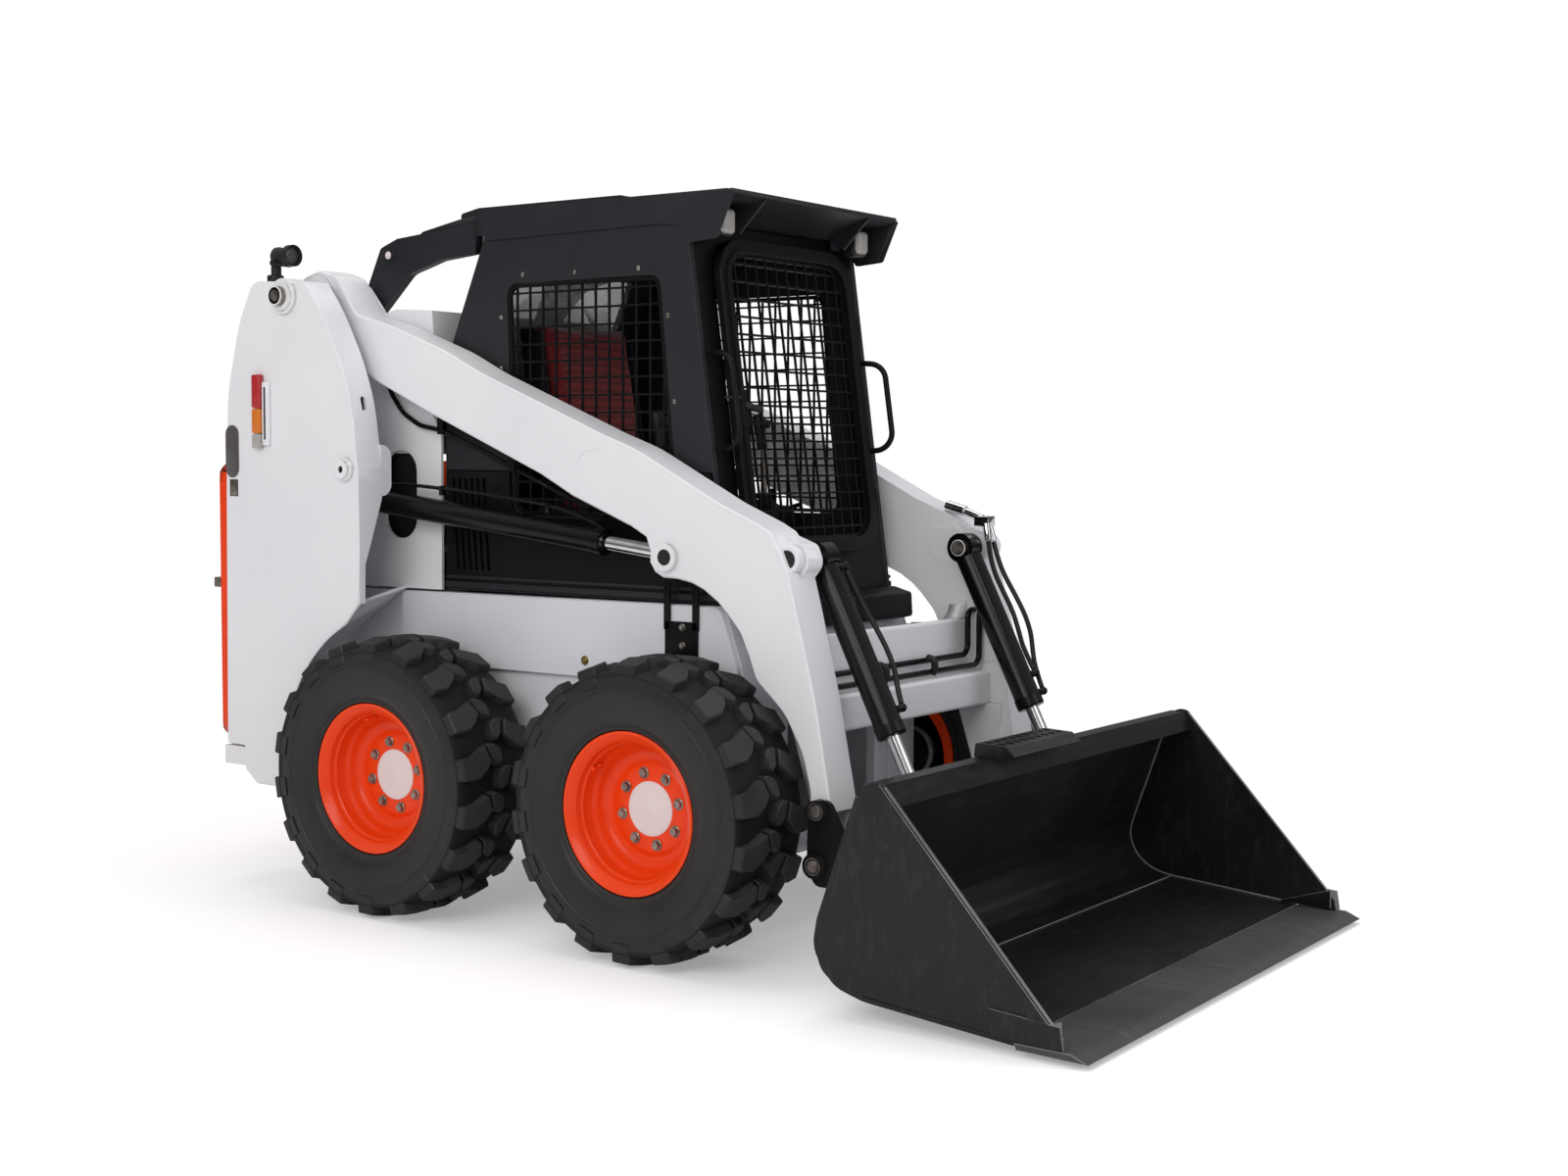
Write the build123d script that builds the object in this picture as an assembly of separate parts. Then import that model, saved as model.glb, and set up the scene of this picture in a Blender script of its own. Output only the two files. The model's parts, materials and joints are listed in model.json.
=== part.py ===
from build123d import *
from math import atan2, cos, degrees, hypot, pi, radians, sin, tan
import os

# Skid steer loader, in millimetres.
# Every size below is in the machine's own axes: X forward from the middle of the wheelbase,
# Y to the machine's left, Z up from the ground. Each piece is moved at the end so that
# the origin is the middle of the footprint of the whole machine.
# Pieces that come in pairs are drawn for the left side, at +Y, and mirrored.

# Overall reach
FRONT_REACH = 1945.0
REAR_REACH = -1375.0
FRAME_X = (FRONT_REACH + REAR_REACH) / 2

# Wheels, 12-16.5 tyres
WHEELBASE = 1000.0
TYRE_R = 425.0
TYRE_WIDTH = 305.0
WHEEL_Y = 681.0
LUG_HEIGHT = 22.0
LUG_FALL = 4.0
LUGS_PER_SIDE = 18
TREAD_R = TYRE_R - LUG_HEIGHT
RIM_R = 227.0
RIM_FLANGE_Y = 132.0
BEAD_R = 209.5
BOLT_CIRCLE_R = 101.6
HUB_CAP_R = 77.0
AXLE_R = 62.0

# Pivots seen from the side, as (X, Z)
BOOM_PIVOT = (-960.0, 1890.0)
LIFT_BASE = (-930.0, 1272.0)
LIFT_PIN = (460.0, 1115.0)
TILT_TOP = (852.0, 1120.0)
BUCKET_PIVOT = (977.0, 306.0)
TILT_PIN = (1165.0, 495.0)
GUARD_PIN = (985.0, 455.0)

# Planes across the machine, as distances from the middle
CHAINCASE_IN = 300.0
CHASSIS_Y = 450.0
SILL_Y = 470.0
CAB_Y = 430.0
ARM_IN = 455.0
ARM_OUT = 580.0
ARM_PLATE = 15.0
ARM_MID = (ARM_IN + ARM_OUT) / 2
TOWER_OUT = 720.0
TOWER_PLATE = 12.0
FLANGE_IN = 620.0
TILT_Y = 395.0
BUCKET_Y = 900.0

# Chassis and tail
BELLY = 215.0
ARCH_R = 490.0
TOW_BORE_R = 13.0
TIE_BORE_R = 16.0
TIE_EYE = (-1304.0, 404.0)
TAIL_HINGE = (-1290.0, 700.0)
TAIL_LOW = 462.0
TAIL_HIGH = 1375.0

# Cylinders
LIFT_BARREL_R = 37.5
LIFT_ROD_R = 22.5
LIFT_BARREL_LENGTH = 1120.0
TILT_BARREL_R = 40.0
TILT_ROD_R = 20.0
TILT_BARREL_LENGTH = 535.0
ROD_PLAY = 0.5
EYE_WIDTH = 60.0
HOSE_D = 15.0

# Cab
CAB_TOP = 2070.0
CAB_FLOOR = 975.0
CAB_REAR = -552.0
ROOF_TOP = 2150.0
FRONT_LEAN = 0.142
CAB_FRONT_AT_TOP = 415.0
CAB_WALL = 30.0
SIDE_WALL = 22.0
MESH_PITCH = 52.0
MESH_WIRE = 6.0
DOOR_HALF = 345.0
DOOR_LOW = 1105.0
DOOR_HIGH = 2030.0
DOOR_THICK = 26.0
DOOR_GAP = 12.0
DOOR_HINGE_Y = 362.0

os.makedirs("parts", exist_ok=True)


def outline(points):
    """A closed face in the XZ plane from (x, z) or (x, z, corner radius) points; radii shrink to fit short sides."""
    corners = [Vector(p[0], 0, p[1]) for p in points]
    spans = []
    for i, p in enumerate(points):
        here = corners[i]
        back, ahead = corners[i - 1] - here, corners[(i + 1) % len(points)] - here
        if len(p) == 2:
            spans.append((here, here, here))
            continue
        half = radians(back.get_angle(ahead)) / 2
        reach = min(p[2] / tan(half), 0.48 * back.length, 0.48 * ahead.length)
        start, end = here + back.normalized() * reach, here + ahead.normalized() * reach
        inward = (back.normalized() + ahead.normalized()).normalized()
        spans.append((start, here + inward * (reach / cos(half) - reach * tan(half)), end))
    edges = []
    for i, (start, middle, end) in enumerate(spans):
        edges.append(Line(spans[i - 1][2], start))
        if (end - start).length > 0:
            edges.append(ThreePointArc(start, middle, end))
    return make_face(edges)


def between(face, y_low, y_high):
    """The XZ face swept from y_low to y_high."""
    return Pos(0, y_low, 0) * extrude(face, amount=y_high - y_low, dir=(0, 1, 0))


def slab(points, y_low, y_high):
    return between(outline(points), y_low, y_high)


def disc(centre, radius, y_low, y_high):
    """A round bar along Y about an (x, z) centre."""
    middle = (y_low + y_high) / 2
    return Pos(centre[0], middle, centre[1]) * Rot(90, 0, 0) * Cylinder(radius, y_high - y_low)


def block(low, high):
    size = [b - a for a, b in zip(low, high)]
    middle = [(a + b) / 2 for a, b in zip(low, high)]
    return Pos(*middle) * Box(*size)


def bar(start, end, radius):
    """A round bar between two points in space."""
    a, b = Vector(*start), Vector(*end)
    length = (b - a).length
    return Plane(origin=a, z_dir=b - a) * Pos(0, 0, length / 2) * Cylinder(radius, length)


def mirrored(shape):
    return mirror(shape, Plane.XZ)


def both_sides(shape):
    return [shape, mirrored(shape)]


def save(name, *shapes):
    """One STEP file for a node, moved into the part's own frame."""
    solids = [s for shape in shapes for s in shape.solids()]
    moved = [Pos(-FRAME_X, 0, 0) * s for s in solids]
    export_step(moved[0] if len(moved) == 1 else Compound(children=moved), f"parts/{name}.step")


def along(start, end):
    """The length and the direction angle in degrees, in the XZ plane, from start to end."""
    dx, dz = end[0] - start[0], end[1] - start[1]
    return hypot(dx, dz), degrees(atan2(dz, dx))


def lay_along(shape, start, end, y):
    """A shape built along +X from the origin, laid from start towards end at a distance y."""
    angle = along(start, end)[1]
    return Pos(start[0], y, start[1]) * Rot(0, -angle, 0) * shape


def rod_along_x(radius, x_low, x_high):
    return Pos((x_low + x_high) / 2, 0, 0) * Rot(0, 90, 0) * Cylinder(radius, x_high - x_low)


def strip(points, thickness):
    """A thin closed outline: the points, and the same points moved to their left, with their corner radii."""
    last = len(points) - 1
    line = [p[:2] if i in (0, last) else p for i, p in enumerate(points)]
    moved = []
    for i, p in enumerate(line):
        a, b = line[max(i - 1, 0)], line[min(i + 1, last)]
        dx, dz = b[0] - a[0], b[1] - a[1]
        length = hypot(dx, dz)
        moved.append((p[0] - thickness * dz / length, p[1] + thickness * dx / length, *p[2:]))
    return line + moved[::-1]


def pipe(points, radii, diameter):
    """A round tube along straight runs joined by arcs."""
    path = FilletPolyline(*points, radius=radii)
    return sweep(Plane(origin=path @ 0, z_dir=path % 0) * Circle(diameter / 2), path=path)


# Wheels
def tyre_ring(y, radius):
    """The corners of one flat-sided ring of the tyre, a side for each lug, across the axle at y."""
    count = 2 * LUGS_PER_SIDE
    step = 2 * pi / count
    reach = radius / cos(step / 2)
    return [Vector(reach * cos((n + 0.5) * step), y, reach * sin((n + 0.5) * step)) for n in range(count)]


def tyre_carcass():
    """The tyre without its lugs, in flat faces from ring to ring, closed through the bore."""
    half = TYRE_WIDTH / 2
    shoulder = [(half - 42, BEAD_R), (half - 14, RIM_R + 22), (half, 335), (half - 27.5, TREAD_R)]
    rings = [tyre_ring(-y, r) for y, r in shoulder] + [tyre_ring(y, r) for y, r in shoulder[::-1]]
    faces = []
    for low, high in zip(rings, rings[1:] + rings[:1]):
        for n in range(len(low)):
            after = (n + 1) % len(low)
            faces.append(Face(Wire.make_polygon([low[n], high[n], high[after], low[after]], close=True)))
    return Solid(Shell(faces))


def tyre_lug():
    """One tread bar of the outer half, pointing straight down before it is turned; its top falls to the shoulder."""
    inner, outer = -5.5, TYRE_WIDTH / 2 - 4
    root = 75.0
    foot = make_face(Plane.XY * Polyline((-32, outer), (14, outer), (33, inner), (-12, inner), close=True))
    bar = extrude(foot, amount=LUG_HEIGHT + root, dir=(0, 0, 1))
    return Pos(0, inner, -TYRE_R) * Rot(LUG_FALL, 0, 0) * Pos(0, -inner, 0) * bar


def tyre():
    """A lugged tyre about the Y axis at the origin, its outer side towards +Y."""
    lug = tyre_lug()
    step = 360.0 / LUGS_PER_SIDE
    lugs = []
    for n in range(LUGS_PER_SIDE):
        lugs.append(Rot(0, n * step, 0) * lug)
        lugs.append(Rot(0, (n + 0.5) * step, 0) * mirrored(lug))
    return tyre_carcass().fuse(*lugs)


def rim():
    """A dished rim with its hub and bolts, about the Y axis, its outer side towards +Y."""
    profile = [
        (BEAD_R - 14, -RIM_FLANGE_Y),
        (RIM_R, -RIM_FLANGE_Y),
        (RIM_R, -RIM_FLANGE_Y + 9),
        (BEAD_R - 0.3, -RIM_FLANGE_Y + 20),
        (BEAD_R - 0.3, RIM_FLANGE_Y - 20),
        (RIM_R, RIM_FLANGE_Y - 9),
        (RIM_R, RIM_FLANGE_Y),
        (BEAD_R - 2, RIM_FLANGE_Y),
        (BEAD_R - 14, RIM_FLANGE_Y - 18),
        (BEAD_R - 22, 60),
        (BEAD_R - 34, 44),
        (BEAD_R - 52, 20),
        (135, 16),
        (120, 24),
        (62, 24),
        (62, 10),
        (135, 4),
        (BEAD_R - 48, 4),
        (BEAD_R - 22, 30),
        (BEAD_R - 22, -100),
    ]
    dish = revolve(make_face(Plane.XY * Polyline(*profile, close=True)), Axis.Y, 360)
    hub = Pos(0, -8, 0) * Rot(90, 0, 0) * Cylinder(88, 36)
    cap = Pos(0, 17, 0) * Rot(90, 0, 0) * Cylinder(HUB_CAP_R, 22)
    wheel = dish.fuse(hub, cap)
    first_bolt = 122.0
    for n in range(8):
        turn = radians(first_bolt + 45 * n)
        x, z = BOLT_CIRCLE_R * cos(turn), BOLT_CIRCLE_R * sin(turn)
        bolt = Pos(x, 24, z) * Rot(90, 0, 0) * extrude(RegularPolygon(12, 6), amount=10, both=True)
        wheel = wheel.fuse(bolt)
    return wheel


def wheels():
    one_tyre, one_rim = tyre(), rim()
    for end, x in (("front", WHEELBASE / 2), ("rear", -WHEELBASE / 2)):
        place = Pos(x, WHEEL_Y, TYRE_R)
        save(f"tyre_{end}_left", place * one_tyre)
        save(f"rim_{end}_left", place * one_rim)
        save(f"tyre_{end}_right", mirrored(place * one_tyre))
        save(f"rim_{end}_right", mirrored(place * one_rim))


def axle_tubes():
    """Four stub axles from the chain cases out to the wheel hubs."""
    tubes = []
    for x in (-WHEELBASE / 2, WHEELBASE / 2):
        centre = (x, TYRE_R)
        tube = disc(centre, AXLE_R, CHASSIS_Y + 14, 640)
        tube = tube.fuse(disc(centre, 84, CHASSIS_Y + 14, CHASSIS_Y + 34), disc(centre, 76, 620, 654))
        tubes += both_sides(tube)
    return tubes


# Chassis
def chassis_frame():
    """The two chain cases joined by floor, front plates, deck and bulkhead."""
    side = [
        (-1240, 250),
        (-1240, 560),
        (-960, 965),
        (562, 972, 30),
        (622, 809),
        (640, 700),
        (640, 330, 60),
        (560, BELLY),
        (-1150, BELLY),
    ]
    case = slab(side, CHAINCASE_IN, CHASSIS_Y)
    sill = slab([(-707, 742), (-707, 964, 12), (560, 970, 30), (618, 809), (628, 742)], CHASSIS_Y - 2, SILL_Y)
    flanges = [disc((x, TYRE_R), 118, CHASSIS_Y - 2, CHASSIS_Y + 14) for x in (-500, 500)]
    idler = disc((-70, 560), 80, CHASSIS_Y - 2, CHASSIS_Y + 12)
    half = case.fuse(sill, idler, *flanges)
    width = CHAINCASE_IN + 5
    floor = block((-1150, -width, BELLY), (580, width, BELLY + 20))
    front = slab([(600, 300), (630, 330), (630, 700), (585, 900), (570, 900), (600, 690)], -width, width)
    front = front - block((500, -235, 340), (700, 235, 715))
    toe = slab([(560, BELLY), (630, 330), (612, 345), (545, BELLY + 20)], -width, width)
    deck = block((-560, -width, 940), (562, width, 960))
    bulkhead = block((-560, -width, BELLY), (-540, width, 960))
    return half.fuse(mirrored(half), floor, front, toe, deck, bulkhead)


# Rear towers
TOWER_FRONT = [
    (-871, 1934, 40),
    (-800, 1842, 700),
    (-716, 1690, 700),
    (-668, 1560, 600),
    (-650, 1440, 600),
    (-640, 1352, 600),
    (-637, 1110, 600),
    (-640, 940, 100),
]


def arch_point(angle):
    """A point of the rear wheel arch, at an angle in degrees from straight forward."""
    return (-WHEELBASE / 2 + ARCH_R * cos(radians(angle)), TYRE_R + ARCH_R * sin(radians(angle)))


ARCH = [(*arch_point(a), r) for a, r in ((114, 180), (125, 440), (140, 470), (155, 470), (170, 440))]
ARCH = ARCH + [arch_point(185)]
TOWER_FOOT = [(-990, 338), (-1121, 338, 25), (-1176, 380, 15), (-1176, 456, 10), (-1262, 458, 8)]
TOWER_BACK = [(-1252, 1300, 600), (-1239, 1596, 600), (-1182, 1814, 500), (-1120, 1930, 30), (-1090, 1943, 40)]
TOWER_OUTLINE = TOWER_FRONT + ARCH + TOWER_FOOT + TOWER_BACK


def arch_liner():
    """The skin of the rear wheel arch: it leans from the plate's own arch back to the chassis side."""
    outer = [p[:2] for p in [TOWER_FRONT[-1], *ARCH, TOWER_FOOT[0]]]
    inner = [(-705, 974), (-741, 956), (-812, 905), (-900, 856), (-960, 775), (-992, 640), (-1000, 480), (-1000, 338)]
    ends = [Pos(0, y, 0) * outline(strip(line[::-1], 12)) for y, line in ((CHASSIS_Y + 0.5, inner), (TOWER_OUT - 6, outer))]
    return loft(ends, ruled=True)


def tower():
    """One rear upright: outer plate, flanges, inner plate and pivot bosses."""
    outer = TOWER_OUT - TOWER_PLATE
    plate = slab(TOWER_OUTLINE, outer, TOWER_OUT)
    rim_edges = plate.faces().sort_by(Axis.Y)[-1].edges()
    plate = chamfer(rim_edges, 4)
    inside = TOWER_OUT - 6
    front_flange = slab(strip(TOWER_FRONT[::-1], 12), FLANGE_IN, inside)
    slot = block((-700, 652, 1534), (-600, 674, 1566)).fuse(
        Pos(-650, 663, 1566) * Rot(0, 90, 0) * Cylinder(11, 100))
    bump = block((-653, 578, 1270), (-641, FLANGE_IN + 2, 1428))
    bump = fillet(bump.edges().filter_by(Axis.X).group_by(Axis.Y)[0], 38)
    taper = make_face(Plane.YZ * Polyline((600, 1262), (620, 1262), (692, 1060), (692, 900), (600, 900), close=True))
    front_flange = (front_flange - slot - Pos(-900, 0, 0) * extrude(taper, amount=500, dir=(1, 0, 0))).fuse(bump)
    back = [(-1260, 470)] + TOWER_BACK + [TOWER_FRONT[0]]
    back_flange = slab(strip(back[::-1], 12), FLANGE_IN, inside)
    ledge = slab([(-1258, 458), (-1258, 474), (-1168, 474), (-1168, 458)], CHASSIS_Y + 0.5, inside)
    inner = [
        (-552, 974),
        (-552, 1466),
        (-700, 1700),
        (-800, 1850),
        (-871, 1934),
        (-1090, 1943),
        (-1182, 1814),
        (-1232, 1596),
        (-1232, 575),
        (-963, 974),
    ]
    inner_plate = slab(inner, CHASSIS_Y - 10, CHASSIS_Y)
    window = [(-800, 1132, 67), (-660, 1132, 67), (-660, 1412, 67), (-800, 1412, 67)]
    inner_plate = inner_plate - slab(window, CHASSIS_Y - 30, CHASSIS_Y + 30)
    foot = slab([(-990, 338), (-1121, 338), (-1174, 380), (-1174, 470), (-985, 470)], CHASSIS_Y + 0.5, inside)
    pivot_pin = disc(BOOM_PIVOT, 30, CHASSIS_Y - 14, TOWER_OUT + 42)
    pivot_bosses = [disc(BOOM_PIVOT, 56, TOWER_OUT - 60, TOWER_OUT + 11), disc(BOOM_PIVOT, 45, TOWER_OUT, TOWER_OUT + 21)]
    base_pin = disc(LIFT_BASE, 22, CHASSIS_Y - 14, TOWER_OUT - 2)
    boss_centre = (-690, 1352)
    side_boss = disc(boss_centre, 36, TOWER_OUT - 2, TOWER_OUT + 12).fuse(disc(boss_centre, 28, TOWER_OUT, TOWER_OUT + 24))
    side_boss = side_boss - disc(boss_centre, 11, TOWER_OUT + 6, TOWER_OUT + 30)
    web = slab([(-1240, 470), (-1240, 1500), (-1225, 1500), (-1225, 470)], CHASSIS_Y - 5, inside)
    web = web - block((-1300, 0, 0), (-1200, CHASSIS_Y + 0.5, 590))
    return plate.fuse(front_flange, arch_liner(), back_flange, inner_plate, foot, ledge, web,
                      pivot_pin, *pivot_bosses, base_pin, side_boss)


def tail_hinge_leaves():
    """The two hinge leaves of the tail door, on the back of the left tower."""
    leaves = []
    for z in (560, 1190):
        leaf = block((-1290, 694, z), (-1248, 706, z + 40))
        leaves.append(leaf.fuse(Pos(TAIL_HINGE[0], TAIL_HINGE[1], z + 20) * Cylinder(9, 40)))
    return leaves


def rear_bumper():
    """The cross beam under the tail door, with its tow eye and two tie-down eyes."""
    beam = block((-1262, -FLANGE_IN + 2, 372), (-1240, FLANGE_IN - 2, 436))
    lug = block((-1340, -60, 396), (-1255, 60, 416)) - Pos(-1305, 0, 406) * Cylinder(TOW_BORE_R, 40)
    eyes = []
    for y in (-380, 380):
        eye = block((-1328, y - 10, 376), (-1255, y + 10, 432))
        eyes.append(eye - disc(TIE_EYE, TIE_BORE_R, y - 20, y + 20))
    end = block((-1283, 596, 390), (-1178, 712, 450))
    return beam.fuse(lug, *eyes, end, mirrored(end))


def engine_block():
    return block((-1120, -230, 330), (-640, 230, 1080))


def engine_hood():
    """The top cover of the engine bay and its two side cheeks, between the towers' inner plates."""
    width = CHASSIS_Y - 12
    crown = [(-1232, 1400), (-1180, 1640), (-1120, 1760, 40), (-760, 1860, 40), (-600, 1850), (-570, 1470),
             (-585, 1470), (-612, 1836), (-760, 1845, 30), (-1112, 1746, 30), (-1168, 1632), (-1220, 1400)]
    cheek = [(-1222, 1402), (-1172, 1636), (-1116, 1752), (-760, 1850), (-608, 1842), (-578, 1470), (-578, 1402)]
    return slab(crown, -width, width).fuse(slab(cheek, width - 8, width), slab(cheek, -width, -width + 8))


def tail_door():
    """The crowned rear door with its grille slots, pull handle and hinge knuckles."""
    edge = 685.0
    skin = [(-1275, edge), (-1326, edge), (-1335, edge - 9), (-1342, 480), (-1347, 0)]
    lining = [(-1335, 0), (-1330, 470), (-1322, edge - 14), (-1275, edge - 12)]
    right_half = [(x, -y) for x, y in (skin + lining)[::-1]]
    shape = make_face(Plane.XY * Polyline(*skin[:-1], *right_half[4:], *right_half[:3], *lining[1:], close=True))
    door = Pos(0, 0, TAIL_LOW) * extrude(shape, amount=TAIL_HIGH - TAIL_LOW)
    corner = 70.0
    frame = Plane(origin=(-1300, 0, (TAIL_LOW + TAIL_HIGH) / 2), x_dir=(0, 1, 0), z_dir=(1, 0, 0))
    door = door & extrude(frame * RectangleRounded(2 * edge, TAIL_HIGH - TAIL_LOW, corner), amount=100, both=True)
    for n in range(9):
        z = 1220 - n * 48
        door = door - block((-1360, -400, z), (-1270, 400, z + 22))
    handle = block((-1374.5, -672, 962), (-1360, -640, 992)).fuse(
        block((-1362, -672, 962), (-1296, -658, 992)), block((-1375, -672, 962), (-1356, -600, 992)),
        block((-1362, -614, 962), (-1302, -600, 992)))
    door = door.fuse(handle)
    for z in (602, 1148):
        knuckle = Pos(TAIL_HINGE[0], TAIL_HINGE[1], z + 20) * Cylinder(9, 40)
        door = door.fuse(knuckle, block((-1297, edge - 8, z), (-1287, TAIL_HINGE[1] - 2, z + 40)))
    return door


# Cab
CAB_BACK = [(CAB_REAR, CAB_FLOOR), (CAB_REAR, 1467), (-530, 1726), (-380, CAB_TOP)]
SIDE_WINDOW = [(-268, 1215, 60), (-290, 1920, 40), (308, 1920, 40), (379, 1215, 30)]


def front_x(z):
    """The X of the cab's leaning front face at a height."""
    return CAB_FRONT_AT_TOP + (2010.0 - z) * FRONT_LEAN


def door_plane():
    """The door's inner face: it leans with the cab's front, just clear of the pillars."""
    return Plane(origin=(front_x(DOOR_LOW) + DOOR_GAP, 0, DOOR_LOW), x_dir=(0, 1, 0), z_dir=(1, 0, FRONT_LEAN))


def door_face(inset, radius):
    height = (DOOR_HIGH - DOOR_LOW) * hypot(1, FRONT_LEAN)
    flat = Pos(0, height / 2) * RectangleRounded(2 * (DOOR_HALF - inset), height - 2 * inset, radius)
    return door_plane() * flat


def cab_side():
    """One side wall with its window cut and the shallow recess that takes the louvred panel."""
    wall = slab([*CAB_BACK, (front_x(CAB_TOP), CAB_TOP), (front_x(CAB_FLOOR), CAB_FLOOR)], CAB_Y - SIDE_WALL, CAB_Y)
    wall = wall - slab(SIDE_WINDOW, CAB_Y - 50, CAB_Y + 20)
    recess = slab([(-545, 990), (-545, 1350), (500, 1350), (552, 990)], CAB_Y - 8, CAB_Y + 5)
    return wall - recess


def grab_bar():
    """A bent handle standing out of the front pillar."""
    y = 385
    low, high = 1414.0, 1695.0
    points = [(front_x(high) - 8, y, high), (front_x(high) + 86, y + 20, high - 6),
              (front_x(low) + 86, y + 20, low + 10), (front_x(low) - 8, y, low)]
    return pipe(points, 55, 18)


def hinge_barrel(height, length):
    """A round barrel on the cab door's hinge axis, at a height up the door."""
    return door_plane() * Pos(DOOR_HINGE_Y, height, DOOR_THICK / 2) * Rot(90, 0, 0) * Cylinder(9, length)


def cab_front():
    """The leaning front frame with its doorway, floor pan, grab bars, hinge brackets and the box under the door."""
    width = CAB_Y - SIDE_WALL
    frame = slab([(front_x(CAB_FLOOR) - CAB_WALL, CAB_FLOOR), (front_x(CAB_FLOOR), CAB_FLOOR),
                  (front_x(CAB_TOP), CAB_TOP), (front_x(CAB_TOP) - CAB_WALL, CAB_TOP)], -width, width)
    frame = frame - extrude(door_face(20, 105), amount=3 * CAB_WALL, both=True)
    pan_front = front_x(CAB_FLOOR) - CAB_WALL + 5
    pan = block((CAB_REAR + CAB_WALL, -width, CAB_FLOOR), (pan_front, width, CAB_FLOOR + 25))
    box = slab([(556, 976), (556, 990), (600, 990), (660, 974, 10), (665, 900, 10), (603, 886), (574, 974)], -400, 400)
    frame = frame.fuse(pan, box, grab_bar(), mirrored(grab_bar()))
    for height in (118, 182, 668, 732):
        bracket = door_plane() * Pos(DOOR_HINGE_Y, height, 0) * Box(18, 30, 2 * DOOR_GAP + 4)
        frame = frame.fuse(hinge_barrel(height, 30), bracket)
    return frame


def cab_rear():
    """The rear wall, leaning forward above the engine hood, with its window hole."""
    width = CAB_Y - SIDE_WALL
    inner = [(-346, CAB_TOP), (-500, 1722), (CAB_REAR + CAB_WALL, 1467), (CAB_REAR + CAB_WALL, CAB_FLOOR)]
    wall = slab(CAB_BACK + inner, -width, width)
    return wall - block((-700, -300, 1480), (-300, 300, 1980))


def rear_window():
    return slab([(-517, 1480), (-505, 1724), (-402, 1980), (-395, 1980), (-499, 1722), (-511, 1480)], -300, 300)


def side_mesh():
    """One window guard: a frame and a square grid of wires."""
    low, high = (-290, 1215), (379, 1920)
    outer = outline([(-266, 1217, 58), (-288, 1918, 38), (306, 1918, 38), (377, 1217, 28)])
    inner = outline([(-254, 1229, 46), (-276, 1906, 28), (294, 1906, 28), (364, 1229, 18)])
    ring = between(outer, CAB_Y - 14, CAB_Y - 4) - between(inner, CAB_Y - 20, CAB_Y + 5)
    half_wire = MESH_WIRE / 2
    wires = []
    x = low[0] + 38
    while x < high[0] - 10:
        wires.append(block((x - half_wire, CAB_Y - 12, low[1]), (x + half_wire, CAB_Y - 6, high[1])))
        x += MESH_PITCH
    z = low[1] + 50
    while z < high[1] - 20:
        wires.append(block((low[0], CAB_Y - 12, z - half_wire), (high[0], CAB_Y - 6, z + half_wire)))
        z += MESH_PITCH
    grid = wires[0].fuse(*wires[1:]) & between(outer, CAB_Y - 20, CAB_Y + 5)
    return ring.fuse(grid)


def roof_bracket():
    """The curved rear leg of the roof frame, with its pivot boss."""
    shape = [(-420, CAB_TOP + 2), (-420, 2112), (-766, 2084, 30), (-841, 2058, 20), (-898, 1944, 80), (-955, 1811),
             (-862, 1836), (-712, 1970, 60), (-577, 2006, 60), (-425, 2020)]
    leg = slab(shape, 395, 425)
    return leg.fuse(disc((-794, 2032), 18, 394, 437))


def cab_roof():
    """The roof cap with its raised panel, side skirts, front visor with two lamp niches, and the rear legs."""
    cap = slab([(-425, CAB_TOP), (-425, 2120), (-395, ROOF_TOP, 20), (570, ROOF_TOP - 2), (575, 2134),
                (470, 2095), (400, CAB_TOP)], -CAB_Y, CAB_Y)
    raised = slab([(-606, 2110), (-606, 2164, 10), (-530, 2178, 20), (60, 2178, 40), (115, 2150), (60, 2110)], -300, 300)
    tail = slab([(-711, 2074), (-700, 2104, 20), (-536, 2133, 100), (-425, 2146), (-420, 2072)], -385, 385)
    skirt = slab([(-372, 2054, 8), (-405, 2148), (560, 2148, 20), (575, 2134), (520, 2012, 12), (420, 2004, 12),
                  (392, 2056, 30), (300, 2064, 60)], CAB_Y, CAB_Y + 6)
    cheek = slab([(418, 2030), (433, 2008), (505, 2015), (575, 2134), (560, ROOF_TOP - 3), (418, ROOF_TOP - 3)],
                 CAB_Y - 8, CAB_Y + 1)
    niche = block((432, 276, 2000), (600, CAB_Y - 8, 2122))
    divider = slab([(440, 2060), (480, 2040), (572, 2130), (500, 2135), (440, 2100)], 268, 276)
    back = slab([(425, 2042), (425, 2090), (433, 2090), (433, 2042)], 268, CAB_Y)
    cap = cap - niche - mirrored(niche)
    halves = [s for piece in (skirt, cheek, divider, back, roof_bracket()) for s in both_sides(piece)]
    return cap.fuse(raised, tail, *halves)


def cab_door():
    """The rounded door frame: a flat ring with a raised inner lip, a latch box and hinge knuckles."""
    ring = extrude(door_face(0, 120), amount=DOOR_THICK)
    lip = extrude(door_face(28, 100), amount=DOOR_THICK + 7)
    door = ring.fuse(lip) - extrude(door_face(45, 85), amount=4 * DOOR_THICK, both=True)
    latch = door_plane() * Pos(-(DOOR_HALF - 30), 430, DOOR_THICK) * Box(30, 110, 30)
    door = door.fuse(latch)
    for height in (150, 700):
        tab = door_plane() * Pos(DOOR_HINGE_Y - 14, height, DOOR_THICK / 2) * Box(28, 32, 8)
        door = door.fuse(tab, hinge_barrel(height, 32))
    return door


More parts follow.
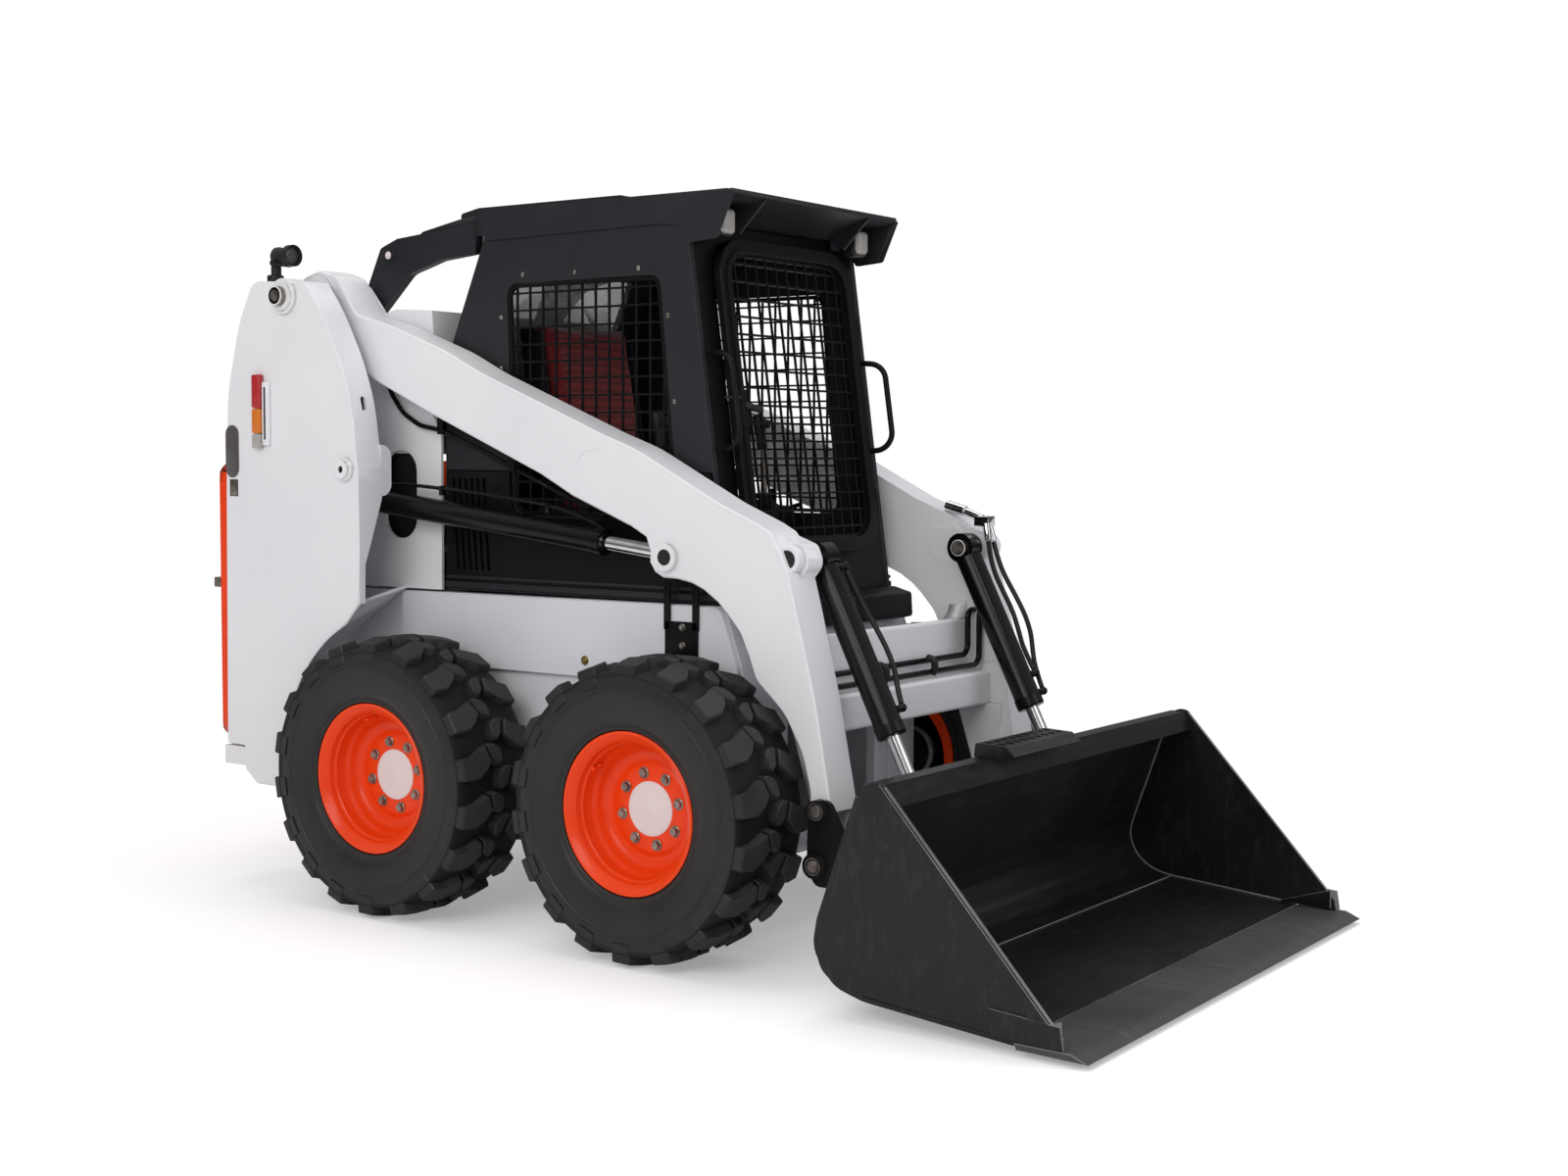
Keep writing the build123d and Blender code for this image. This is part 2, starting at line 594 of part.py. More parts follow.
def cab_door_mesh():
    """The door's wire guard in its thin rim."""
    height = (DOOR_HIGH - DOOR_LOW) * hypot(1, FRONT_LEAN)
    field = Pos(0, height / 2) * RectangleRounded(2 * (DOOR_HALF - 46), height - 92, 84)
    rim_face = field - Pos(0, height / 2) * RectangleRounded(2 * (DOOR_HALF - 54), height - 108, 76)
    wires = [Pos((i - 5) * MESH_PITCH, height / 2) * Rectangle(MESH_WIRE, height) for i in range(11)]
    wires += [Pos(0, 80 + j * MESH_PITCH) * Rectangle(2 * DOOR_HALF, MESH_WIRE) for j in range(16)]
    grid = Sketch() + wires
    grid = (grid & field) + rim_face
    return Pos(10, 0, 10 * FRONT_LEAN) * extrude(door_plane() * grid, amount=MESH_WIRE)


def side_panel():
    """The black lower side panel, cut round the window, with its two groups of louvre slots."""
    panel = slab([(-543, 992), (-543, 1348), (496, 1348), (550, 992)], CAB_Y - 7, CAB_Y + 6)
    panel = panel - slab([(-273, 1210, 60), (-295, 1925), (313, 1925), (385, 1210, 30)], CAB_Y - 20, CAB_Y + 20)
    for n in range(6):
        x = -500 + n * 26
        panel = panel - slab([(x, 1040), (x - 12, 1190), (x, 1190), (x + 12, 1040)], CAB_Y - 20, CAB_Y + 20)
        panel = panel - slab([(x - 12, 1215), (x - 20, 1325), (x - 8, 1325), (x, 1215)], CAB_Y - 20, CAB_Y + 20)
    return panel


def seat():
    base = slab([(-330, 1001), (-330, 1190), (60, 1190), (60, 1001)], -190, 190)
    cushion = slab([(-340, 1181), (-340, 1270, 30), (120, 1310, 40), (140, 1181, 20)], -235, 235)
    back = slab([(-325, 1230), (-420, 1800, 40), (-330, 1840, 40), (-215, 1250)], -225, 225)
    return base.fuse(cushion, back)


def control_levers():
    lever = slab([(180, 1240), (170, 1420), (190, 1425), (205, 1240)], 250, 270)
    grip = slab([(150, 1415, 15), (150, 1540, 20), (200, 1545, 20), (205, 1415, 15)], 238, 284)
    box = slab([(-250, 1001), (-250, 1240), (230, 1240), (250, 1001)], 240, 345)
    return both_sides(lever.fuse(grip, box))


def lamps():
    """Front lamps in the visor, lamp strips on the towers and a swivelling work lamp on each tower."""
    lens = Plane(origin=(436, 350, 2068), x_dir=(0, 1, 0), z_dir=(1, 0, 0)) * RectangleRounded(72, 80, 16)
    front = extrude(lens, amount=66)
    tail = block((-1100, TOWER_OUT, 1415), (-1062, TOWER_OUT + 22, 1650))
    tail = tail.fuse(block((-1062, TOWER_OUT, 1425), (-1030, TOWER_OUT + 12, 1625)))
    stalk = Pos(-1022, 680, 1970) * Cylinder(16, 52)
    foot = Pos(-1026, 680, 1952.5) * Cylinder(26, 20)
    head = Pos(-1002, 680, 2020) * Rot(0, 90, 0) * Cylinder(34, 84) - Pos(-960, 680, 2020) * Rot(0, 90, 0) * Cylinder(26, 50)
    work = stalk.fuse(foot, head)
    return [s for lamp in (front, tail, work) for s in both_sides(lamp)]


# Boom
ARM_TOP = [(-958, 1982, 60), (-880, 1960, 60), (-793, 1835, 60), (-658, 1803, 200), (-405, 1712, 600),
           (-266, 1646, 500), (214, 1460, 500), (335, 1419, 600), (637, 1268, 300), (768, 1215), (814, 1191, 40)]
LEG_FRONT = [(838, 1152, 40), (868, 1090, 140), (897, 985), (957, 750), (977, 650), (997, 550), (1017, 450)]
LEG_BACK = [(945, 450), (945, 500, 100), (918, 602, 200), (858, 704, 150), (763, 789, 60), (739, 853, 60), (708, 917, 100),
            (660, 970, 60), (629, 998), (584, 1027), (541, 1045)]
LIFT_BOSS = [(491, 1055), (438, 1057), (409, 1072), (391, 1099), (392, 1130), (377, 1170)]
ARM_BOTTOM = [(329, 1195, 100), (102, 1281), (-22, 1344), (-451, 1516), (-713, 1629, 300), (-880, 1740), (-1050, 1800, 60),
              (-1075, 1890, 60), (-1040, 1960, 40)]


def boom_arm():
    """One lift arm: two side plates joined by top, front and bottom strips, open at the lift pin."""
    tip = [(1017, 450), (1040, 400, 40), (1015, 300, 40), (977, 258, 40), (948, 281, 30)]
    face = outline(ARM_TOP + LEG_FRONT[:-1] + tip + LEG_BACK + LIFT_BOSS + ARM_BOTTOM)
    inner = between(face, ARM_IN, ARM_IN + ARM_PLATE)
    outer = between(face, ARM_OUT - ARM_PLATE, ARM_OUT)
    outer = chamfer(outer.faces().sort_by(Axis.Y)[-1].edges(), 7)
    gap = (ARM_IN + ARM_PLATE - 1, ARM_OUT - ARM_PLATE + 1)
    top = slab(strip((ARM_TOP + LEG_FRONT)[::-1], 14), *gap)
    low = slab(strip(ARM_BOTTOM[:6][::-1], 14), *gap)
    back = slab(strip(LEG_BACK[:-1][::-1], 14), *gap)
    arm = inner.fuse(outer, top, low, back)
    arm = arm.fuse(disc(BOOM_PIVOT, 75, ARM_IN, ARM_OUT + 10))
    arm = arm - disc(BOOM_PIVOT, 30.5, ARM_IN - 20, ARM_OUT + 60)
    for y in ((ARM_IN, ARM_IN + ARM_PLATE + 4), (ARM_OUT - ARM_PLATE - 4, ARM_OUT + 18)):
        arm = arm.fuse(disc(LIFT_PIN, 38, *y))
    ear = slab([(750, 1195), (783, 1194, 10), (885, 1158, 30), (905, 1105, 40), (868, 1060, 20), (800, 1050)],
               ARM_IN, ARM_IN + 70)
    pad = slab([(690, 1170, 20), (790, 1186, 20), (862, 1052, 60), (926, 768, 10), (896, 764, 10), (815, 1000, 60),
                (690, 1105, 20)], ARM_IN - 5, ARM_IN + 1)
    arm = arm.fuse(ear, pad, disc(TILT_TOP, 40, ARM_IN, ARM_IN + 78))
    top_pin = disc(TILT_TOP, 25, TILT_Y - EYE_WIDTH / 2 - 12, ARM_IN + 90)
    return arm.fuse(top_pin)


def boom_crossmember():
    """The two bands that join the legs, with curved gussets above and bracket plates below."""
    lower = slab([(800, 640, 12), (915, 634, 12), (915, 738, 12), (800, 745, 12)], -ARM_IN, ARM_IN)
    upper = slab([(770, 735), (770, 890, 20), (830, 902, 12), (832, 735)], -ARM_IN, ARM_IN)
    sweep_r = 65.0
    top = 885.0
    gusset = block((772, ARM_IN - 5 - sweep_r, top), (828, ARM_IN - 5, top + sweep_r))
    gusset = gusset - Pos(800, ARM_IN - 5 - sweep_r, top + sweep_r) * Rot(0, 90, 0) * Cylinder(sweep_r - 8, 100)
    bracket = slab([(800, 644), (866, 440, 20), (940, 440, 10), (960, 638)], ARM_IN - 14, ARM_IN)
    return lower.fuse(upper, gusset, mirrored(gusset), bracket, mirrored(bracket))


def boom_tubes():
    """Hydraulic lines fixed to the boom: two along the crossmember, and one under each arm in its clips."""
    leg = ARM_IN - 5
    inner = pipe([(856, -ARM_IN, 789), (856, 413, 789), (856, 413, 925), (856, leg, 925)], [32, 25], 18)
    outer = pipe([(886, -ARM_IN, 758), (886, 431, 758), (886, 431, 920), (886, leg, 920)], [32, 12], 18)
    y = ARM_IN + 9
    line = [(-790, y, 1668), (-757, y, 1592), (-705, y, 1530), (-631, y, 1490), (-532, y, 1474), (-377, y, 1418),
            (-57, y, 1291), (120, y, 1222), (185, y, 1240)]
    under = pipe(line, [120, 120, 120, 160, 200, 200, 40], HOSE_D)
    clips = []
    for x, z, high in ((-532, 1474, 1545.5), (-230, 1359.6, 1422), (70, 1241.5, 1291)):
        clips.append(block((x - 12, y - 7, z - 12), (x + 12, y + 11, high)))
    return [inner, outer, *both_sides(under.fuse(*clips))]


def pivot_guard():
    """The black plate outside the arm's tip, with its two pins."""
    plate = slab([(948, 300, 30), (952, 470, 30), (1015, 490, 30), (1075, 380, 20), (1040, 250, 30), (975, 250, 30)],
                 ARM_OUT, ARM_OUT + 16)
    pins = [disc(GUARD_PIN, 30, ARM_OUT + 1, ARM_OUT + 30), disc(BUCKET_PIVOT, 34, ARM_OUT + 1, ARM_OUT + 30)]
    return plate.fuse(*pins)


def carried_back(points, height):
    """Where the first run of a hose, carried back, reaches a height."""
    a, b = points[0], points[1]
    share = (height - a[2]) / (b[2] - a[2])
    return tuple(p + (q - p) * share for p, q in zip(a, b))


def auxiliary_coupler():
    """The quick coupler on top of the left arm, its manifold and two stubs where hoses leave it."""
    body = bar((738, 478, 1246), (806, 478, 1229), 17)
    neck = bar((800, 478, 1230.5), (872, 470, 1208), 12)
    manifold = block((858, 440, 1186), (906, 486, 1216))
    gap = 3.0
    stubs = [bar(carried_back(line, 1195), carried_back(line, line[0][2] + gap), 11) for line in (OUTER_HOSE, INNER_HOSE)]
    saddle = slab([(752, 1222), (752, 1236), (776, 1236), (776, 1211.5)], 470, 486)
    return body.fuse(neck, manifold, saddle, *stubs)


# Cylinders
def barrel(length, radius, bore, pin_r, eye_r, width):
    """A barrel along +X from its base eye at the origin, bored from its far end."""
    tube = rod_along_x(radius, eye_r - 12, length)
    gland = rod_along_x(radius + 2.5, length - 34, length - 4)
    body = tube.fuse(Rot(90, 0, 0) * Cylinder(eye_r, width), gland)
    body = body - rod_along_x(bore, eye_r + 20, length + 10)
    return body - Rot(90, 0, 0) * Cylinder(pin_r, width + 40)


def port(distance, side):
    """A hose fitting on a tilt barrel, seen from the barrel's own X: side is 1 or -1 across the machine."""
    stand = Pos(distance, 0, 0) * Rot(-45 * side, 0, 0)
    return (stand * Pos(0, 0, 44) * Cylinder(11, 22)).fuse(stand * Pos(0, 0, 55) * Sphere(12.5))


def rod(start, end, radius, pin_r, eye_r, width):
    """A rod along +X whose eye is at end."""
    shaft = rod_along_x(radius, start, end - eye_r + 8)
    eye = Pos(end, 0, 0) * Rot(90, 0, 0) * Cylinder(eye_r, width)
    return shaft.fuse(eye) - Pos(end, 0, 0) * Rot(90, 0, 0) * Cylinder(pin_r, width + 40)


def cylinders():
    lift = along(LIFT_BASE, LIFT_PIN)[0]
    tilt = along(TILT_TOP, TILT_PIN)[0]
    lift_barrel = barrel(LIFT_BARREL_LENGTH, LIFT_BARREL_R, LIFT_ROD_R + ROD_PLAY, 22.5, 45, EYE_WIDTH)
    tilt_barrel = barrel(TILT_BARREL_LENGTH, TILT_BARREL_R, TILT_ROD_R + ROD_PLAY, 25.5, 45, EYE_WIDTH)
    lift_rod = rod(300, lift, LIFT_ROD_R, 20, 42, EYE_WIDTH)
    tilt_rod = rod(185, tilt, TILT_ROD_R, 16, 30, EYE_WIDTH - 10)
    left_ports = [port(440, 1), port(500, 1)]
    right_ports = [port(45, -1), port(470, -1)]
    pieces = [
        ("lift_barrel", LIFT_BASE, LIFT_PIN, ARM_MID, lift_barrel, lift_barrel),
        ("lift_rod", LIFT_BASE, LIFT_PIN, ARM_MID, lift_rod, lift_rod),
        ("tilt_barrel", TILT_TOP, TILT_PIN, TILT_Y, tilt_barrel.fuse(*left_ports), tilt_barrel.fuse(*right_ports)),
        ("tilt_rod", TILT_TOP, TILT_PIN, TILT_Y, tilt_rod, tilt_rod),
    ]
    for name, start, end, y, left, right in pieces:
        save(f"{name}_left", lay_along(left, start, end, y))
        save(f"{name}_right", mirrored(lay_along(right, start, end, y)))


# Hoses, as points in space
RIGHT_HOSE = [(911.4, -355.4, 1084.8), (930, -350, 1042), (958, -343, 990), (998, -338, 930), (1036, -335, 868),
              (1060, -335, 812), (1070, -339, 768), (1091, -352.1, 728)]
OUTER_HOSE = [(908, 476, 1137), (924, 475, 1088), (948, 474, 1036), (986, 474, 978), (1022, 474, 918),
              (1044, 474, 862), (1052, 472, 808), (1066, 462, 757), (1103.3, 437.9, 700.5)]
INNER_HOSE = [(905, 449, 1140), (912, 450, 1090), (930, 451, 1036), (960, 452, 982), (992, 452, 926),
              (1013, 451, 870), (1034, 446, 812), (1075.5, 436, 754)]


def hose(name, points):
    """A free hose: straight runs joined by arcs as large as the runs allow."""
    bends = []
    for a, b, c in zip(points, points[1:], points[2:]):
        before, after = Vector(*b) - Vector(*a), Vector(*c) - Vector(*b)
        half_turn = radians(before.get_angle(after)) / 2
        bends.append(0.45 * min(before.length, after.length) / tan(half_turn))
    print(name, "bend radii", [round(r) for r in bends])
    return pipe(points, bends, HOSE_D)


def hoses():
    for name, points in (("tilt_hose_right", RIGHT_HOSE), ("tilt_hose_left_outer", OUTER_HOSE),
                         ("tilt_hose_left_inner", INNER_HOSE)):
        save(name, hose(name, points))


# Coupler and bucket
def coupler():
    """The quick coupler plate behind the bucket, slotted for the tilt rods, with its pivot ears and rod lugs."""
    plate = slab([(1294, 556), (1174, 215), (1164, 178), (1108, 190), (1120, 240), (1222, 545, 15)], -560, 560)
    plate = plate - slab([(1400, 470), (1000, 470), (1000, 280), (1400, 280)], -280, 280)
    slot_half = 47.0
    rod_room = 29.0
    fittings = []
    for s in (-1, 1):
        plate = plate - block((1000, s * TILT_Y - slot_half, 300), (1400, s * TILT_Y + slot_half, 700))
        y = s * ARM_MID
        ear = slab([(977, 261), (1130, 200), (1190, 300), (1190, 400), (1110, 400), (977, 351), (940, 330),
                    (940, 280)], y - 36, y + 36)
        fittings.append(ear - disc(BUCKET_PIVOT, 25.5, y - 60, y + 60))
        for low, high in ((-slot_half - 1, -rod_room), (rod_room, slot_half + 1)):
            lug = slab([(1130, 480, 15), (1150, 535, 20), (1200, 530, 15), (1252, 470), (1200, 330)],
                       s * TILT_Y + low, s * TILT_Y + high)
            fittings.append(lug)
    return plate.fuse(*fittings)


def bucket():
    """The bucket shell: curved back, floor and top box between two edged side plates."""
    back_line = [(1749, 37), (1420, 66), (1330, 73, 200), (1262, 92, 60), (1212, 130, 60), (1190, 190, 60), (1200, 246, 100),
                 (1312, 562)]
    skin = slab(strip(back_line, 12), -BUCKET_Y, BUCKET_Y)
    top_box = slab([(1300, 545), (1320, 600), (1375, 602), (1395, 545)], -BUCKET_Y, BUCKET_Y)
    side = [(1342, 608, 30), (1376, 606, 25), (1871, 62), (1871, 34), (1751, 38), (1243, 83, 60), (1174, 176, 60),
            (1305, 560)]
    plate = slab(side, BUCKET_Y - 14, BUCKET_Y)
    lead_edge = slab(strip([(1868, 60), (1372, 604)], 34), BUCKET_Y - 1, BUCKET_Y + 6)
    wear = slab([(1680, 105), (1871, 90), (1880, 35), (1690, 40)], BUCKET_Y - 1, BUCKET_Y + 7)
    gusset = slab([(1700, 44), (1860, 40), (1860, 95)], BUCKET_Y - 26, BUCKET_Y - 13)
    halves = [s for piece in (plate, lead_edge, wear, gusset) for s in both_sides(piece)]
    return skin.fuse(top_box, *halves)


def bucket_edge():
    return slab([(1751, 34.5), (1757, 18), (FRONT_REACH, 14), (1900, 33)], -BUCKET_Y - 7, BUCKET_Y + 7)


def bucket_step():
    """The folded and pierced step plate on top of the bucket."""
    low, high = -360, 20
    plate = slab(strip([(1330, 603), (1330, 636, 6), (1420, 632, 12), (1442, 612)], 5), low, high)
    ends = [slab([(1331, 603), (1331, 636), (1420, 632), (1440, 613), (1400, 603)], y, y + 5) for y in (low, high - 5)]
    step = plate.fuse(*ends)
    for row in (1354, 1392):
        for n in range(9):
            step = step - Pos(row, low + 30 + n * 40, 640) * Cylinder(12, 60)
    return step


def build():
    save("chassis_frame", chassis_frame())
    save("axle_tubes", *axle_tubes())
    one_tower = tower()
    save("tower_left", one_tower.fuse(*tail_hinge_leaves()))
    save("tower_right", mirrored(one_tower))
    save("rear_bumper", rear_bumper())
    save("engine_block", engine_block())
    save("engine_hood", engine_hood())
    save("tail_door", tail_door())
    save("cab_sides", *both_sides(cab_side()))
    save("cab_front", cab_front())
    save("cab_rear", cab_rear())
    save("rear_window", rear_window())
    save("side_meshes", *both_sides(side_mesh()))
    save("cab_roof", cab_roof())
    save("cab_door", cab_door())
    save("cab_door_mesh", cab_door_mesh())
    save("side_panels", *both_sides(side_panel()))
    save("seat", seat())
    save("control_levers", *control_levers())
    save("lamps", *lamps())
    one_arm = boom_arm()
    save("boom_arm_left", one_arm)
    save("boom_arm_right", mirrored(one_arm))
    save("boom_crossmember", boom_crossmember())
    save("boom_tubes", *boom_tubes())
    save("pivot_guards", *both_sides(pivot_guard()))
    save("auxiliary_coupler", auxiliary_coupler())
    cylinders()
    hoses()
    save("coupler", coupler())
    save("bucket", bucket())
    save("bucket_edge", bucket_edge())
    save("bucket_step", bucket_step())
    wheels()


build()
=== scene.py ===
import json
import math

import bmesh
import bpy
from mathutils import Matrix, Vector, geometry

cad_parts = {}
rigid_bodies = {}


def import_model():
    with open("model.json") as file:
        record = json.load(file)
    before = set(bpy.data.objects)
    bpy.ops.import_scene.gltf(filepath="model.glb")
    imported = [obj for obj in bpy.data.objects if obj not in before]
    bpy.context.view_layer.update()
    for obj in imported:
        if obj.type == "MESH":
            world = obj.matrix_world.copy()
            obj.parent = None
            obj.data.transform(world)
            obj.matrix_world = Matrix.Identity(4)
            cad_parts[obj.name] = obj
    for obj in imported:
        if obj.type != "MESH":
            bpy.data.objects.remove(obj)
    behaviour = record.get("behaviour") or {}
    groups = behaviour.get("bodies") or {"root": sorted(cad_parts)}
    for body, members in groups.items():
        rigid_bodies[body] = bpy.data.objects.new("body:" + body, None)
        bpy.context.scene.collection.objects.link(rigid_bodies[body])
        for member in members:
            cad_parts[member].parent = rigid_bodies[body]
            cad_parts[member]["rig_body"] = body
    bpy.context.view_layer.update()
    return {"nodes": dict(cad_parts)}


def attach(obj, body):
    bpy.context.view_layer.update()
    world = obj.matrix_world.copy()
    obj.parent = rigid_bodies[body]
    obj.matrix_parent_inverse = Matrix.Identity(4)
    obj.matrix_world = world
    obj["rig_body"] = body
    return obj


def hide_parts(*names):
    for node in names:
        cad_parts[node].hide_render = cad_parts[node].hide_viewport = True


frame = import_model()
nodes = frame["nodes"]
print("frame loaded", len(nodes), "nodes")

# Numbers below are the machine's own millimetres: X from the middle of the wheelbase, Z from the ground.
frameShift = 285.0


def at(x, y, z):
    return Vector(((x - frameShift) / 1000, y / 1000, z / 1000))


# Materials

def linear(hexText):
    parts = [int(hexText[i:i + 2], 16) / 255 for i in (0, 2, 4)]
    return [c / 12.92 if c <= 0.04045 else ((c + 0.055) / 1.055) ** 2.4 for c in parts] + [1.0]


def addNode(tree, kind, settings=None, inputs=None, stops=None):
    node = tree.nodes.new(kind)
    for name, value in (settings or {}).items():
        setattr(node, name, value)
    for name, value in (inputs or {}).items():
        socket = node.inputs[name]
        if isinstance(value, bpy.types.NodeSocket):
            tree.links.new(value, socket)
        else:
            socket.default_value = value
    if stops:
        elements = node.color_ramp.elements
        while len(elements) < len(stops):
            elements.new(0.5)
        for element, (position, colour) in zip(elements, stops):
            element.position = position
            element.color = colour
    return node


def newFinish(name, shaderValues):
    material = bpy.data.materials.new(name)
    material.use_nodes = True
    tree = material.node_tree
    tree.nodes.clear()
    shader = addNode(tree, "ShaderNodeBsdfPrincipled", {}, shaderValues)
    addNode(tree, "ShaderNodeOutputMaterial", {}, {"Surface": shader.outputs[0]})
    place = addNode(tree, "ShaderNodeTexCoord").outputs["Object"]
    return material, tree, shader, place


grey = lambda level: (level, level, level, 1.0)


def paintedSteel(name, values):
    material, tree, shader, place = newFinish(name, {
        "Metallic": 0.0, "IOR": 1.5, "Specular IOR Level": values["gloss"], "Coat Weight": values["coat"],
        "Coat Roughness": 0.12})
    # broad shade drift over a hand's width, then grime in specks about 6 mm across
    drift = addNode(tree, "ShaderNodeTexNoise", {}, {
        "Vector": place, "Scale": values["driftScale"], "Detail": 3.0, "Roughness": 0.55})
    driftRamp = addNode(tree, "ShaderNodeValToRGB", {}, {"Fac": drift.outputs["Fac"]},
        stops=[(0.3, linear(values["shade"])), (0.7, linear(values["base"]))])
    specks = addNode(tree, "ShaderNodeTexNoise", {}, {
        "Vector": place, "Scale": values["speckScale"], "Detail": 8.0, "Roughness": 0.72})
    # darker towards the bottom: grime, and on the chassis also painted shade of the underside
    height = addNode(tree, "ShaderNodeSeparateXYZ", {}, {"Vector": place}).outputs["Z"]
    low = addNode(tree, "ShaderNodeMapRange", {"clamp": True}, {
        "Value": height, "From Min": values["grimeAndShadeTop"], "From Max": 0.0, "To Min": 0.0,
        "To Max": values["grimeAndShadeLow"]})
    speckRamp = addNode(tree, "ShaderNodeValToRGB", {}, {"Fac": specks.outputs["Fac"]},
        stops=[(values["speckFrom"], grey(0.0)), (values["speckFrom"] + 0.16, grey(1.0))])
    grimeAndShade = addNode(tree, "ShaderNodeMath", {"operation": "MULTIPLY_ADD", "use_clamp": True}, {
        0: speckRamp.outputs["Color"], 1: values["speckAmount"], 2: low.outputs["Result"]})
    grimedAndShaded = addNode(tree, "ShaderNodeMix", {"data_type": "RGBA"}, {
        0: grimeAndShade.outputs[0], 6: driftRamp.outputs["Color"], 7: linear(values["dust"])})
    # rubs run along the sheet, 2 mm wide and a hand long
    along = addNode(tree, "ShaderNodeMapping", {}, {"Vector": place, "Scale": values["rubStretch"]})
    rubs = addNode(tree, "ShaderNodeTexNoise", {}, {
        "Vector": along.outputs[0], "Scale": 9.0, "Detail": 6.0, "Roughness": 0.6})
    rubRamp = addNode(tree, "ShaderNodeValToRGB", {}, {"Fac": rubs.outputs["Fac"]},
        stops=[(values["rubFrom"], grey(0.0)), (values["rubFrom"] + 0.1, grey(values["rubAmount"]))])
    worn = addNode(tree, "ShaderNodeMix", {"data_type": "RGBA"}, {
        0: rubRamp.outputs["Color"], 6: grimedAndShaded.outputs[2], 7: linear(values["rub"])})
    tree.links.new(worn.outputs[2], shader.inputs["Base Color"])
    rough = addNode(tree, "ShaderNodeMapRange", {"clamp": True}, {
        "Value": drift.outputs["Fac"], "From Min": 0.3, "From Max": 0.7,
        "To Min": values["roughness"][0], "To Max": values["roughness"][1]})
    tree.links.new(rough.outputs["Result"], shader.inputs["Roughness"])
    # orange peel is 2 mm in life; drawn at 6 mm so that it shows
    peel = addNode(tree, "ShaderNodeTexNoise", {}, {"Vector": place, "Scale": 150.0, "Detail": 2.0})
    bump = addNode(tree, "ShaderNodeBump", {}, {
        "Height": peel.outputs["Fac"], "Strength": values["peel"], "Distance": 0.001})
    tree.links.new(bump.outputs[0], shader.inputs["Normal"])
    return material


plain = {"coat": 0.0, "gloss": 0.4, "driftScale": 2.2, "speckScale": 60.0, "speckFrom": 0.62,
         "speckAmount": 0.25, "grimeAndShadeTop": 0.9, "grimeAndShadeLow": 0.12,
         "rubStretch": (1.0, 1.0, 8.0), "rubFrom": 0.66, "rubAmount": 0.25, "peel": 0.08,
         "roughness": (0.34, 0.48)}

# white powder coat over steel: a soft broad gloss, faint grime low down
powderWhite = paintedSteel("powderCoatWhite", {**plain, "base": "E9E8EC", "shade": "E3E2E7", "dust": "B9B2A8",
    "rub": "D6D6DA", "speckAmount": 0.10, "coat": 0.15, "rubAmount": 0.15})
# the chassis white is a darker copy of the white paint and darker again towards the bottom: painted shade under
# the machine, together with road dust
chassisWhiteShaded = paintedSteel("powderCoatChassisShaded", {**plain, "base": "DFE0E6", "shade": "D5D6DD",
    "dust": "9A9088", "rub": "C9CAD0", "speckAmount": 0.14, "grimeAndShadeTop": 0.75, "grimeAndShadeLow": 0.22, "coat": 0.15})
# satin black wet paint on the cab, with a thin grey bloom of dust; this is the lit copy of the cab's black, its
# extra lightness painted light
blackPaintLitCopy = paintedSteel("satinBlackPaintLitCopy", {**plain, "base": "2A2B2F", "shade": "242529", "dust": "4A4846",
    "rub": "37373B", "gloss": 0.22, "roughness": (0.36, 0.5), "speckAmount": 0.12, "grimeAndShadeTop": 0.5})
# the shaded copy of the same black, on the front frame, roof visor and lower panels: painted shade
blackPaintShadedCopy = paintedSteel("shadedCopyBlackPaint", {**plain, "base": "121214", "shade": "0E0E10", "dust": "2E2C2B",
    "rub": "1E1E21", "gloss": 0.16, "roughness": (0.3, 0.42), "speckAmount": 0.08, "grimeAndShadeTop": 0.5,
    "grimeAndShadeLow": 0.05})
# red-orange enamel, glossy, on rims and tail door
orangeEnamel = paintedSteel("redOrangeEnamel", {**plain, "base": "F2440A", "shade": "E63C07", "dust": "B5674A",
    "rub": "F25A22", "gloss": 0.24, "roughness": (0.24, 0.36), "coat": 0.08, "speckAmount": 0.06,
    "grimeAndShadeLow": 0.05})
# black cylinder enamel with a wet look
cylinderBlack = paintedSteel("cylinderEnamel", {**plain, "base": "0D0D0F", "shade": "0A0A0B", "dust": "2F2D2C",
    "rub": "17171A", "gloss": 0.24, "roughness": (0.2, 0.28), "coat": 0.0, "speckAmount": 0.06, "peel": 0.02,
    "rubAmount": 0.08, "grimeAndShadeLow": 0.04})
# bucket paint, new but already rubbed by earth
bucketPaint = paintedSteel("bucketBlackPaint", {**plain, "base": "181819", "shade": "141415", "dust": "2E2C2A",
    "rub": "2C2B2D", "gloss": 0.34, "roughness": (0.3, 0.42), "speckAmount": 0.08, "rubAmount": 0.5,
    "rubFrom": 0.54, "rubStretch": (7.0, 0.8, 2.0), "grimeAndShadeTop": 0.3, "grimeAndShadeLow": 0.05})
# paint scraped thin at edges: dark grey metal shows, lighter along edges and welds also as a painted highlight
scrapedSteelAndHighlight = paintedSteel("scrapedSteelAndHighlightEdge", {**plain, "base": "8A888B", "shade": "656366",
    "dust": "6A635D", "rub": "A4A2A6", "gloss": 0.3,
    "roughness": (0.3, 0.5), "speckAmount": 0.3, "rubAmount": 0.6})
# cutting edge: mill-scaled steel rubbed bright
cuttingSteel = paintedSteel("cuttingEdgeSteel", {**plain, "base": "4A484B", "shade": "3E3C3F",
    "dust": "4A4540", "rub": "605E62", "gloss": 0.3,
    "roughness": (0.34, 0.5), "rubAmount": 0.35, "rubFrom": 0.56, "rubStretch": (0.6, 6.0, 1.0)})
# dark, dull finish for the wheels' inner side: painted shade standing in for the deep shade within the rim
rimInsidePaintedShade = paintedSteel("rimInsidePaintedShade", {**plain, "base": "0E0D0D", "shade": "0A0A0A", "dust": "1E1B19",
    "rub": "181716", "gloss": 0.1, "roughness": (0.6, 0.8), "speckAmount": 0.1, "rubAmount": 0.1})


